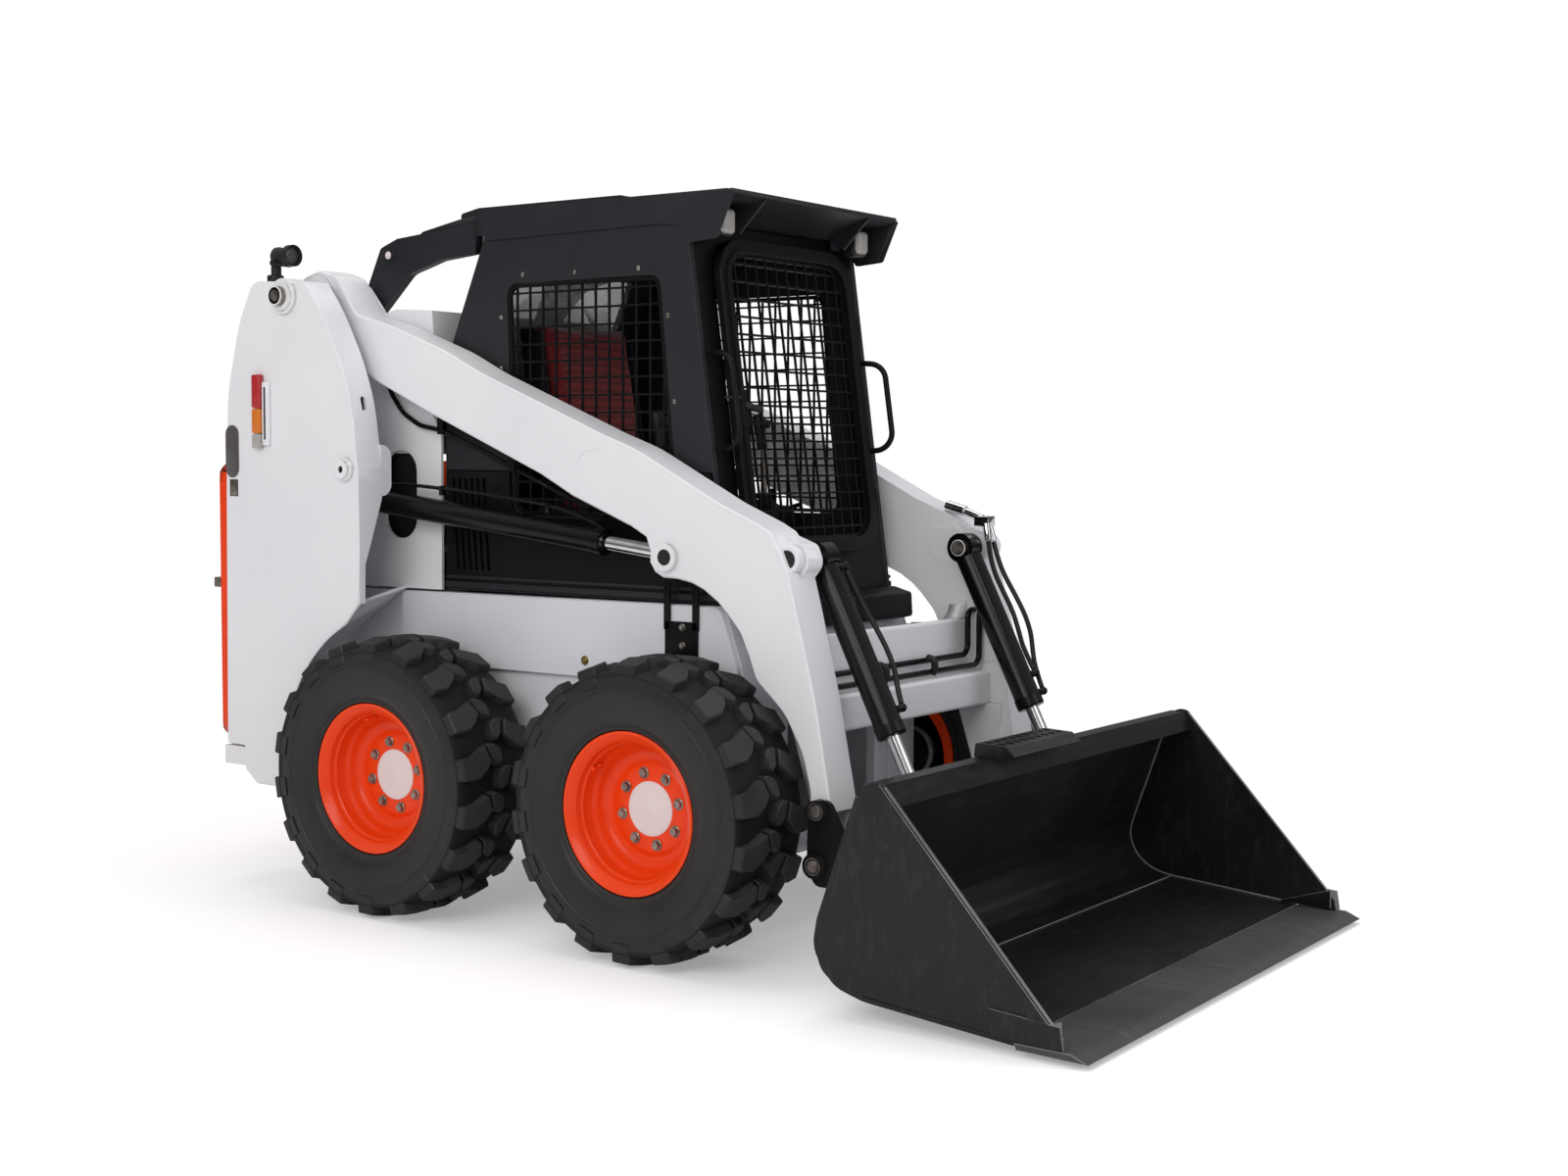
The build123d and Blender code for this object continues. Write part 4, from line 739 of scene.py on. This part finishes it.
def makeRims():
    # from the inner lip over the barrel to the outer lip, then down the dish to the hub, in millimetres
    profile = [(195, -132), (221, -132.5), (227, -131), (227, -124), (209, -112), (208.5, 112), (226.5, 123),
               (227.2, 130),
               (224.5, 132), (219, 131.5), (214, 127), (207, 122.5), (201, 116), (197, 111), (195.5, 97),
               (192, 92.5), (189, 90),
               (187.5, 62), (184, 56), (178, 50), (175, 45), (171, 33), (164, 24), (157, 19.5), (148, 17.5),
               (138, 16.5), (131, 18), (124, 23), (118, 24.5), (60, 24.5)]
    # the dish's back and the barrel's inner face are drawn in the dark finish: painted shade of the rim's deep
    # hollow
    inside = [(60, 24.5), (60, 6), (128, 3), (150, 4), (160, 8), (172, 22), (184, 40), (187, 56), (187, -100),
              (195, -132)]
    bolt = bpy.data.objects.new("boltSource", hexBolt())
    bpy.context.scene.collection.objects.link(bolt)
    for end, side, sign, place in wheelPlaces():
        body = f"wheel_{end}_{side}"
        tag = f"{end.capitalize()}{side.capitalize()}"
        bm = bmesh.new()
        for line, material in ((profile, 0), (inside, 1)):
            addLathe(bm, [(r / 1000, y / 1000) for r, y in line], Vector((0, 0, 0)), (0, 1, 0), 96,
                     material)
        # valve lump and its stem on the barrel, a few degrees before the top
        valveTurn = math.radians(52 if end == "front" else 12)
        across = Vector((-math.sin(valveTurn), 0, math.cos(valveTurn)))
        foot = across * 0.186 + Vector((0, 0.074, 0))
        addRod(bm, foot, foot - across * 0.011, 0.010, 16, 0.003)
        addRod(bm, foot - across * 0.006, foot - across * 0.010 + Vector((0, 0.034, 0)), 0.0048, 12, 0.001)
        bmesh.ops.remove_doubles(bm, verts=bm.verts, dist=0.00002)
        tidyNormals(bm)
        mesh = meshOf("rim" + tag, bm, 32.0)
        mesh.transform(place)
        if sign < 0:
            mesh.flip_normals()
        newPiece("rim" + tag, mesh, [orangeEnamel, rimInsidePaintedShade], body, [f"rim_{end}_{side}"])
        # hub disc with its raised centre
        bm = bmesh.new()
        cap = [(0.0, 0.0292), (0.006, 0.0290), (0.009, 0.0282), (0.066, 0.0282), (0.074, 0.0276),
               (0.0768, 0.0262),
               (0.0772, 0.0240), (0.0772, -0.02), (0.088, -0.021), (0.088, -0.028), (0.0, -0.028)]
        addLathe(bm, cap, Vector((0, 0, 0)), (0, 1, 0), 64)
        tidyNormals(bm)
        mesh = meshOf("hub" + tag, bm, 40.0)
        mesh.transform(place)
        if sign < 0:
            mesh.flip_normals()
        newPiece("hubDisc" + tag, mesh, hubDisc, body)
        ring = ringOf(bolt, rimSizes["bolts"], rimSizes["firstBolt"], 1.0, zincPlate)
        ring.transform(place)
        if sign < 0:
            ring.flip_normals()
        ring.shade_smooth()
        ring.set_sharp_from_angle(angle=math.radians(30))
        newPiece("wheelBolts" + tag, ring, zincPlate, body)
    bpy.data.objects.remove(bolt)


makeRims()
print("rims made")


# Hoses, the free cords: the points of their routes in metres

hoseSizes = {"diameter": 0.015, "resolution": 6}
hoseRoutes = {
    "tiltHoseRight": ("tilt_hose_right", "tilt_barrel_right", [
        (911.4, -355.4, 1084.8), (930, -350, 1042), (958, -343, 990), (998, -338, 930), (1036, -335, 868),
        (1060, -335, 812), (1070, -339, 768), (1091, -352.1, 728)]),
    "tiltHoseLeftOuter": ("tilt_hose_left_outer", "tilt_barrel_left", [
        (908, 476, 1137), (924, 475, 1088), (948, 474, 1036), (986, 474, 978), (1022, 474, 918),
        (1044, 474, 862), (1052, 472, 808), (1066, 462, 757), (1103.3, 437.9, 700.5)]),
    "tiltHoseLeftInner": ("tilt_hose_left_inner", "tilt_barrel_left", [
        (905, 449, 1140), (912, 450, 1090), (930, 451, 1036), (960, 452, 982), (992, 452, 926),
        (1013, 451, 870), (1034, 446, 812), (1075.5, 436, 754)]),
}


def makeHose(name, node, body, route):
    curve = bpy.data.curves.new(name, "CURVE")
    curve.dimensions = "3D"
    curve.bevel_depth = hoseSizes["diameter"] / 2
    curve.bevel_resolution = hoseSizes["resolution"]
    curve.resolution_u = 12
    curve.use_fill_caps = True
    spline = curve.splines.new("NURBS")
    spline.points.add(len(route) - 1)
    points = [at(*p) for p in route]
    for point, place in zip(spline.points, points):
        point.co = (*place, 1.0)
    spline.order_u = 3
    spline.use_endpoint_u = True
    curve.materials.append(hoseCover)
    hose = bpy.data.objects.new(name, curve)
    bpy.context.scene.collection.objects.link(hose)
    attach(hose, body)
    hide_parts(node)


for name, (node, body, route) in hoseRoutes.items():
    makeHose(name, node, body, route)


# Lamps, seat, levers and small trim, in the machine's millimetres; the right side mirrors the left

bothSides = (("Left", 1), ("Right", -1))


def trim(name, finish, body, draw, smooth=35.0, replaced=()):
    bm = bmesh.new()
    draw(bm)
    tidyNormals(bm)
    return newPiece(name, meshOf(name, bm, smooth), finish, body, replaced)


def block(bm, x, y, z, round=0.0, segments=2):
    low, high = at(x[0], min(y), z[0]), at(x[1], max(y), z[1])
    addBox(bm, low, high, round / 1000, segments)


def knob(bm, place, axis, profile, segments=32):
    addLathe(bm, [(r / 1000, a / 1000) for r, a in profile], at(*place), axis, segments)


def pinHead(bm, x, y, z, radius, height, sign, lip=2.0, segments=32):
    knob(bm, (x, y * sign, z), (0, sign, 0), [(0, -2), (radius, -2), (radius, height - lip),
        (radius - lip, height), (0, height)],
         segments)


def hexHead(bm, place, axis, across, height):
    knob(bm, place, axis, [(0, -1), (across * 0.78, -1), (across * 0.78, 1.5), (across * 0.72, 2), (0, 2)], 20)
    knob(bm, place, axis, [(across * 0.58, 1), (across * 0.58, height - 1.2), (across * 0.5, height),
        (0, height)], 6)


lampValues = {"front": ((436, 493), (313, 387), (2026, 2110)),
    "frontLens": ((470, 502.5), (318, 382), (2032, 2104)),
    "tail": (-1100, -1062), "tailSteps": (1415, 1462, 1542, 1650), "bracket": ((-1061, -1030), (1425, 1625)),
    "work": (-1044, 680, 2020)}


def makeLamps():
    tower = 720.0
    x, y, z = lampValues["front"]
    lensX, lensY, lensZ = lampValues["frontLens"]
    workX, workY, workZ = lampValues["work"]

    def bodies(bm):
        for sign in (1, -1):
            block(bm, x, (y[0] * sign, y[1] * sign), z, 12, 3)
            knob(bm, (workX, workY * sign, 1944), (0, 0, 1), [(0, 0), (16, 0), (16, 52), (0, 52)], 20)
            knob(bm, (workX - 4, workY * sign, 1942.5), (0, 0, 1),
                 [(0, 0), (26, 0), (26, 17), (23, 20), (0, 20)])
            knob(bm, (workX, workY * sign, workZ), (1, 0, 0), [
                (0, 0), (20, 0), (26, 2), (30, 8), (30, 20), (27, 24), (27, 52), (31, 56), (34, 62), (34, 84),
                (31, 84), (29, 72), (0, 72)])
            # tilt bolt through the lamp's yoke
            knob(bm, (workX + 22, (workY - 38) * sign, workZ - 22), (0, sign, 0),
                 [(0, 0), (9, 0), (9, 76), (0, 76)], 16)
    trim("lampHousings", grainedPlastic, "machine", bodies, replaced=["lamps"])
    trim("frontLampLenses", clearAcrylic, "machine", lambda bm: [
        block(bm, lensX, (lensY[0] * s, lensY[1] * s), lensZ, 14, 4) for s in (1, -1)])
    trim("workLampLenses", smokedReflector, "machine", lambda bm: [
        knob(bm, (workX + 68, workY * s, workZ), (1, 0, 0),
             [(0, 0), (30, 0), (30, 2), (22, 6), (0, 9)]) for s in (1, -1)])
    steps = lampValues["tailSteps"]
    for label, finish, low, high in (("tailLampClear", clearAcrylic, steps[0], steps[1]),
        ("tailLampAmber", amberAcrylic, steps[1], steps[2]), ("tailLampRed", redAcrylic, steps[2], steps[3])):
        trim(label, finish, "machine", lambda bm: [
            block(bm, lampValues["tail"], (tower * s, (tower + 22) * s), (low + 0.5, high - 0.5), 6,
                  3) for s in (1, -1)])
    bracketX, bracketZ = lampValues["bracket"]
    trim("tailLampBrackets", powderWhite, "machine", lambda bm: [
        block(bm, bracketX, (tower * s, (tower + 12) * s), bracketZ, 3) for s in (1, -1)])
    trim("tailLampSlots", grainedPlastic, "machine", lambda bm: [
        block(bm, (bracketX[0] + 7, bracketX[1] - 10), ((tower + 4) * s, (tower + 12.6) * s),
              (bracketZ[0] + 15, bracketZ[1] - 13), 5)
        for s in (1, -1)])


makeLamps()
print("lamps made")

# Seat: vinyl shell and two stuffed pads

seatValues = {"voxel": 0.006, "pressure": 4.0, "frames": 20, "swellMax": 0.024}


def stuffed(name, bm, finish, cap):
    pad = newPiece(name, meshOf(name, bm, 60.0), finish, "machine")
    remesh = pad.modifiers.new("remesh", "REMESH")
    remesh.mode = "VOXEL"
    remesh.voxel_size = seatValues["voxel"]
    pad.data = plainMesh(pad, name)
    pad.modifiers.clear()
    start = [v.co.copy() for v in pad.data.vertices]
    cloth = pad.modifiers.new("cloth", "CLOTH")
    cloth.settings.use_pressure = True
    cloth.settings.uniform_pressure_force = seatValues["pressure"]
    cloth.settings.effector_weights.gravity = 0.0
    cloth.settings.tension_stiffness = 15.0
    cloth.settings.bending_stiffness = 0.6
    for number in range(1, seatValues["frames"] + 1):
        bpy.context.scene.frame_set(number)
    swollen = plainMesh(pad, name)
    pad.modifiers.clear()
    for vert, place in zip(swollen.vertices, start):
        shift = vert.co - place
        if shift.length > cap:
            vert.co = place + shift.normalized() * cap
    pad.data = swollen
    bpy.context.scene.frame_set(1)
    rounder = pad.modifiers.new("subdivide", "SUBSURF")
    rounder.levels = rounder.render_levels = 1
    pad.data = plainMesh(pad, name)
    pad.modifiers.clear()
    pad.data.materials.clear()
    pad.data.materials.append(finish)
    pad.data.shade_smooth()
    return pad


def makeSeat():
    def shell(bm):
        addPlate(bm, [(-330, 1001), (60, 1001), (60, 1178), (-330, 1178)], -190, 190, 0.006)
        addPlate(bm, [(-338, 1178), (134, 1178), (138, 1205), (-300, 1212), (-318, 1250), (-402, 1800),
            (-418, 1806), (-424, 1795)],
                 -228, 228, 0.006)
        for sign in (1, -1):
            ys = sorted((212 * sign, 230 * sign))
            addPlate(bm, [(-330, 1210), (-250, 1230), (-335, 1790), (-410, 1792)], *ys, 0.007)
    trim("seatShell", darkVinyl, "machine", shell, replaced=["seat"])
    bm = bmesh.new()
    addPlate(bm, [(-300, 1212), (122, 1204), (126, 1262), (100, 1286), (-240, 1268), (-296, 1262)], -216, 216,
             0.022, 4)
    tidyNormals(bm)
    stuffed("seatCushion", bm, redCloth, seatValues["swellMax"])
    bm = bmesh.new()
    addPlate(bm, [(-312, 1272), (-240, 1282), (-340, 1806), (-362, 1824), (-392, 1816), (-396, 1790)], -206,
             206, 0.022, 4)
    tidyNormals(bm)
    stuffed("seatBack", bm, redCloth, 0.016)


makeSeat()
print("seat made")

leverValues = {"boxX": (-250, 250), "boxY": (240, 345), "boxZ": (1001, 1240), "foot": (192, 260, 1236),
    "head": (182, 260, 1430)}


def makeLevers():
    footX, footY, footZ = leverValues["foot"]
    headX, headY, headZ = leverValues["head"]

    def boxes(bm):
        for sign in (1, -1):
            ys = [y * sign for y in leverValues["boxY"]]
            block(bm, leverValues["boxX"], ys, leverValues["boxZ"], 12, 3)
            # pleated boot round the lever's foot
            knob(bm, (footX, footY * sign, footZ), (-0.05, 0, 1), [
                (0, 0), (34, 0), (36, 6), (28, 10), (30, 16), (22, 20), (24, 26), (16, 30), (17, 36), (10, 42),
                (0, 42)], 28)
            knob(bm, (headX - 4, headY * sign, headZ - 10), (-0.15, 0, 1), [
                (0, 0), (14, 0), (17, 8), (16, 40), (19, 70), (20, 96), (15, 112), (0, 118)], 24)
            block(bm, (headX - 8, headX + 22), ((headY - 10) * sign, (headY + 10) * sign),
                  (headZ + 58, headZ + 84), 5)
    trim("leverBoxes", grainedPlastic, "machine", boxes, replaced=["control_levers"])
    trim("leverStems", zincPlate, "machine", lambda bm: [
        addRod(bm, at(footX, footY * s, footZ), at(headX, headY * s, headZ), 0.007, 16) for s in (1, -1)])


makeLevers()
print("levers made")

# Small trim on the towers, chassis, boom, cab and tail

shadeSheetValues = {"x": (-850, -610), "z": (1100, 1440), "y": (412, 422)}


def towerTrim(bm, sign):
    pinHead(bm, -960, 741, 1890, 30.5, 21, sign, 4)
    knob(bm, (-960, 762 * sign, 1890), (0, sign, 0), [(0, -1), (19, -1), (18, 0.5), (0, 0.5)])


trim("pivotPins", pinSteel, "machine", lambda bm: [towerTrim(bm, s) for s in (1, -1)])
trim("bossPlugs", grainedPlastic, "machine", lambda bm: [
    [pinHead(bm, -690, 728, 1352, 10.8, 14, s), block(bm, (-690, -684), (650 * s, 676 * s), (1528, 1582),
    1)] for s in (1, -1)])


def reflectors(bm):
    for sign in (1, -1):
        centre, reach, count = 1406, 84, 12
        points = []
        for end in (1, -1):
            for n in range(count + 1):
                turn = math.pi * n / count if end > 0 else math.pi + math.pi * n / count
                points.append((-1216.5 + 30.5 * math.cos(turn),
                    centre + end * (reach - 30.5) + 30.5 * math.sin(turn)))
        addPlate(bm, points, *sorted((719.5 * sign, 724 * sign)), 0.0012)


trim("sideReflectors", smokedReflector, "machine", reflectors)
trim("blankPlateFrames", grainedPlastic, "machine", lambda bm: [
    block(bm, (-1232, -1192), (719.5 * s, 720.6 * s), (1262, 1316), 0.4) for s in (1, -1)])
trim("blankPlates", zincPlate, "machine", lambda bm: [
    block(bm, (-1229, -1195), (720 * s, 721 * s), (1265, 1313), 0.3) for s in (1, -1)])
# dark sheets just within the towers' openings: painted shade of the bay behind them
trim("bayScreens", grainedPlastic, "machine", lambda bm: [
    block(bm, shadeSheetValues["x"], [y * s for y in shadeSheetValues["y"]], shadeSheetValues["z"]) for s in (1, -1)])
trim("fillerPlugs", turnedBrass, "machine", lambda bm: [
    [pinHead(bm, 58, 470, 790, 14, 3, s, 1), hexHead(bm, (58, 472.5 * s, 790), (0, s, 0), 11, 5)] for s in (1,
        -1)])


def sillBrackets(bm):
    for sign in (1, -1):
        ys = [470.5 * sign, 479 * sign]
        block(bm, (367, 485), ys, (823, 925), 2)
        for x in ((363, 385), (466, 488)):
            block(bm, x, ys, (900, 1040), 2)


trim("sillBrackets", blackPaintShadedCopy, "machine", sillBrackets)
trim("sillBolts", zincPlate, "machine", lambda bm: [
    hexHead(bm, (432, 479 * s, z), (0, s, 0), 14, 8) for z in (909, 856) for s in (1, -1)])
trim("panelRails", blackPaintLitCopy, "machine", lambda bm: [
    [block(bm, (-543, 555), (436 * s, 446 * s), (985, 1003), 3),
     block(bm, (-543, 555), (434 * s, 441 * s), (1012, 1022), 2)]
    for s in (1, -1)])


def armCovers(bm):
    for sign in (1, -1):
        pinHead(bm, 460, 597, 1115, 22.5, 4.5, sign)
        pinHead(bm, 852, 556, 1120, 25.5, 5, sign, 2)


def armPins(bm):
    for sign in (1, -1):
        knob(bm, (852, 364 * sign, 1120), (0, -sign, 0), [(0, -2), (25.6, -2), (25.6, 9), (22.6, 11.7),
            (0, 11.7)])
        for x, z in ((985, 455), (977, 306)):
            pinHead(bm, x, 609, z, 17, 4, sign, 1.5)
            knob(bm, (x, 609 * sign, z), (0, sign, 0), [(21, -1), (24, -1), (24, 2.5), (21, 2.5), (21, -1)])


trim("tiltBosses", powderWhite, "boom", lambda bm: [pinHead(bm, 852, 531, 1120, 39, 26, s,
    3) for s in (1, -1)])
trim("armPinCovers", grainedPlastic, "boom", armCovers)
trim("guardPins", pinSteel, "boom", armPins)
trim("doublerSeams", powderWhite, "boom", lambda bm: [
    addTube(bm, [at(x, 580 * s, z) for x, z in ((214, 1423), (151, 1409), (117, 1375), (113, 1327),
    (128, 1299), (154, 1279))],
            0.0016, 8) for s in (1, -1)])
liftLine = [(-800, 1290), (-680, 1305), (-480, 1294), (-280, 1277), (-42, 1249), (90, 1218), (156, 1192),
            (165, 1183)]
for tag, sign in bothSides:
    def line(bm):
        addTube(bm, smoothPath([at(x, 518 * sign, z) for x, z in liftLine], 5), 0.006)
        for x, z in ((-480, 1294), (-42, 1249)):
            block(bm, (x - 8, x + 8), (509 * sign, 527 * sign), (z - 22, z + 9), 3)
    trim("liftLine" + tag, cylinderBlack, f"lift_barrel_{tag.lower()}", line)

windowBolts = [(-17, 1942), (-225, 1945), (229, 1942), (-314, 1818), (338, 1801), (362, 1553), (-315, 1663),
    (-296, 1300), (395, 1300)]
trim("windowBolts", zincPlate, "machine", lambda bm: [
    knob(bm, (x, 430 * s, z), (0, s, 0), [(0, -1), (7.5, -1), (7.5, 0.8), (5, 3.2), (0, 4)], 16)
    for x, z in windowBolts for s in (1, -1)])
# roof bolts in the pale disc paint, whose pink tint is a painted reflection of rim enamel
trim("roofBolts", hubDisc, "machine", lambda bm: [
    [pinHead(bm, -794, 437, 2032, 12, 4, s), hexHead(bm, (-794, 440 * s, 2032), (0, s, 0), 7, 4)] for s in (1,
        -1)])


def doorLatch(bm):
    addRod(bm, at(526, -400, 1566), at(526, -325, 1566), 0.004, 12)
    addRod(bm, at(530, -318, 1545), at(545, -250, 1532), 0.011, 16, 0.004)


trim("doorLatch", grainedPlastic, "cab_door", doorLatch)
trim("grilleScreen", grainedPlastic, "tail_door",
     lambda bm: block(bm, (-1304, -1300), (-420, 420), (820, 1260)))
trim("doorPull", pinSteel, "tail_door", lambda bm: block(bm, (-1375, -1336), (-673, -599),
    (960.5, 993), 3))


# weld beads where the bucket's side plates meet its shell, and the seam across its floor
shellLine = [(1749, 39), (1580, 54), (1420, 68), (1330, 76), (1266, 94), (1216, 134), (1194, 190), (1204, 246),
    (1256, 396), (1308, 546)]


def bucketWelds(bm):
    for sign in (1, -1):
        addTube(bm, smoothPath([at(x, 885 * sign, z) for x, z in shellLine], 4), 0.003, 8)
    addTube(bm, [at(1340, -884, 74.5), at(1340, 884, 74.5)], 0.0024, 8)


# the welds take the light edge finish: scraped paint together with a painted highlight
trim("bucketWelds", scrapedSteelAndHighlight, "bucket", bucketWelds)
trim("crossmemberElbow", grainedPlastic, "boom", lambda bm: [
    addTube(bm, smoothPath([at(870, y, 800), at(892, y, 792), at(896, y, 770), at(888, y, 752)], 4),
            0.011) for y in (-120, 150)])
print("trim made")


# Stage: floor, light and camera

stageValues = {"worldLight": 0.6, "backdrop": 1.0, "floorColour": "EFEFF0", "floorLift": 0.3,
    "lens": 46.04, "turn": 35.2224, "dip": 3.7764, "roll": 0.2701, "eye": (3.6791, -4.9786, 1.4005)}


def makeCamera():
    data = bpy.data.cameras.new("camera")
    data.lens = stageValues["lens"]
    data.sensor_width = 36.0
    data.clip_end = 200.0
    camera = bpy.data.objects.new("camera", data)
    bpy.context.scene.collection.objects.link(camera)
    turn, dip, roll = [math.radians(stageValues[k]) for k in ("turn", "dip", "roll")]
    right = Vector((math.cos(turn), math.sin(turn), 0))
    ahead = Vector((-math.sin(turn) * math.cos(dip), math.cos(turn) * math.cos(dip), -math.sin(dip)))
    up = right.cross(ahead)
    tiltedRight = right * math.cos(roll) + up * math.sin(roll)
    tiltedUp = up * math.cos(roll) - right * math.sin(roll)
    basis = Matrix((tiltedRight, tiltedUp, -ahead)).transposed()
    camera.matrix_world = Matrix.Translation(stageValues["eye"]) @ basis.to_4x4()
    bpy.context.scene.camera = camera


def makeWorld():
    world = bpy.data.worlds.new("studio")
    world.use_nodes = True
    tree = world.node_tree
    tree.nodes.clear()
    path = addNode(tree, "ShaderNodeLightPath").outputs
    seen = addNode(tree, "ShaderNodeMath", {"operation": "MAXIMUM"}, {
        0: path["Is Camera Ray"], 1: path["Is Transmission Ray"]})
    # reflections see a studio that is bright overhead and dim at the walls
    upward = addNode(tree, "ShaderNodeSeparateXYZ", {}, {
        "Vector": addNode(tree, "ShaderNodeTexCoord").outputs["Generated"]}).outputs["Z"]
    walls = addNode(tree, "ShaderNodeValToRGB", {}, {"Fac": upward}, stops=[
        (0.0, grey(0.12)), (0.12, grey(0.18)), (0.45, grey(0.7)), (0.8, grey(1.0))])
    mirrored = addNode(tree, "ShaderNodeMix", {"data_type": "RGBA"}, {
        0: path["Is Glossy Ray"], 6: grey(1.0), 7: walls.outputs["Color"]})
    lit = addNode(tree, "ShaderNodeBackground", {}, {
        "Color": mirrored.outputs[2], "Strength": stageValues["worldLight"]})
    shown = addNode(tree, "ShaderNodeBackground", {}, {"Color": (1, 1, 1, 1),
        "Strength": stageValues["backdrop"]})
    mixed = addNode(tree, "ShaderNodeMixShader", {}, {0: seen.outputs[0], 1: lit.outputs[0],
        2: shown.outputs[0]})
    addNode(tree, "ShaderNodeOutputWorld", {}, {"Surface": mixed.outputs[0]})
    bpy.context.scene.world = world


def makeFloor():
    material = bpy.data.materials.new("paleFloor")
    material.use_nodes = True
    tree = material.node_tree
    tree.nodes.clear()
    path = addNode(tree, "ShaderNodeLightPath").outputs
    base = addNode(tree, "ShaderNodeBsdfDiffuse", {}, {"Color": linear(stageValues["floorColour"])})
    lift = addNode(tree, "ShaderNodeMath", {"operation": "MULTIPLY"},
        {0: path["Is Camera Ray"], 1: stageValues["floorLift"]})
    glow = addNode(tree, "ShaderNodeEmission", {}, {"Color": (1, 1, 1, 1), "Strength": lift.outputs[0]})
    both = addNode(tree, "ShaderNodeAddShader", {}, {0: base.outputs[0], 1: glow.outputs[0]})
    # further out the floor fades into the backdrop
    place = addNode(tree, "ShaderNodeTexCoord").outputs["Object"]
    reach = addNode(tree, "ShaderNodeVectorMath", {"operation": "LENGTH"}, {0: place}).outputs["Value"]
    fade = addNode(tree, "ShaderNodeMapRange", {"clamp": True},
        {"Value": reach, "From Min": 1.9, "From Max": 3.6})
    seen = addNode(tree, "ShaderNodeMath", {"operation": "MULTIPLY"}, {
        0: fade.outputs["Result"], 1: path["Is Camera Ray"]})
    backdrop = addNode(tree, "ShaderNodeEmission", {}, {"Color": (1, 1, 1, 1),
        "Strength": stageValues["backdrop"]})
    mixed = addNode(tree, "ShaderNodeMixShader", {}, {0: seen.outputs[0], 1: both.outputs[0],
        2: backdrop.outputs[0]})
    addNode(tree, "ShaderNodeOutputMaterial", {}, {"Surface": mixed.outputs[0]})
    bm = bmesh.new()
    bmesh.ops.create_circle(bm, cap_ends=True, radius=40.0, segments=96)
    mesh = meshOf("floor", bm)
    floor = newPiece("floor", mesh, material, None)
    floor.location.z = 0.0


softLights = {
    # name: place, aim, size across and up, power, colour
    "keyRight": ((1.5, -6.5, 4.2), (0.0, 0.0, 0.9), (5.0, 3.0), 165.0, "FFFDF8"),
    "frontFill": ((7.5, 0.5, 3.6), (0.0, 0.0, 0.9), (3.5, 3.0), 60.0, "F6F8FF"),
    "topSoft": ((-0.5, 0.5, 6.5), (0.0, 0.0, 0.5), (5.0, 4.0), 110.0, "FFFFFF"),
}


def makeLights():
    for name, (place, aim, size, power, colour) in softLights.items():
        data = bpy.data.lights.new(name, "AREA")
        data.shape = "RECTANGLE"
        data.size, data.size_y = size
        data.energy = power
        data.color = linear(colour)[:3]
        light = bpy.data.objects.new(name, data)
        bpy.context.scene.collection.objects.link(light)
        toward = (Vector(aim) - Vector(place)).normalized()
        light.matrix_world = Matrix.Translation(place) @ toward.to_track_quat("-Z", "Y").to_matrix().to_4x4()


makeCamera()
makeWorld()
makeFloor()
makeLights()
bpy.context.scene.view_settings.view_transform = "Standard"
print("stage made")
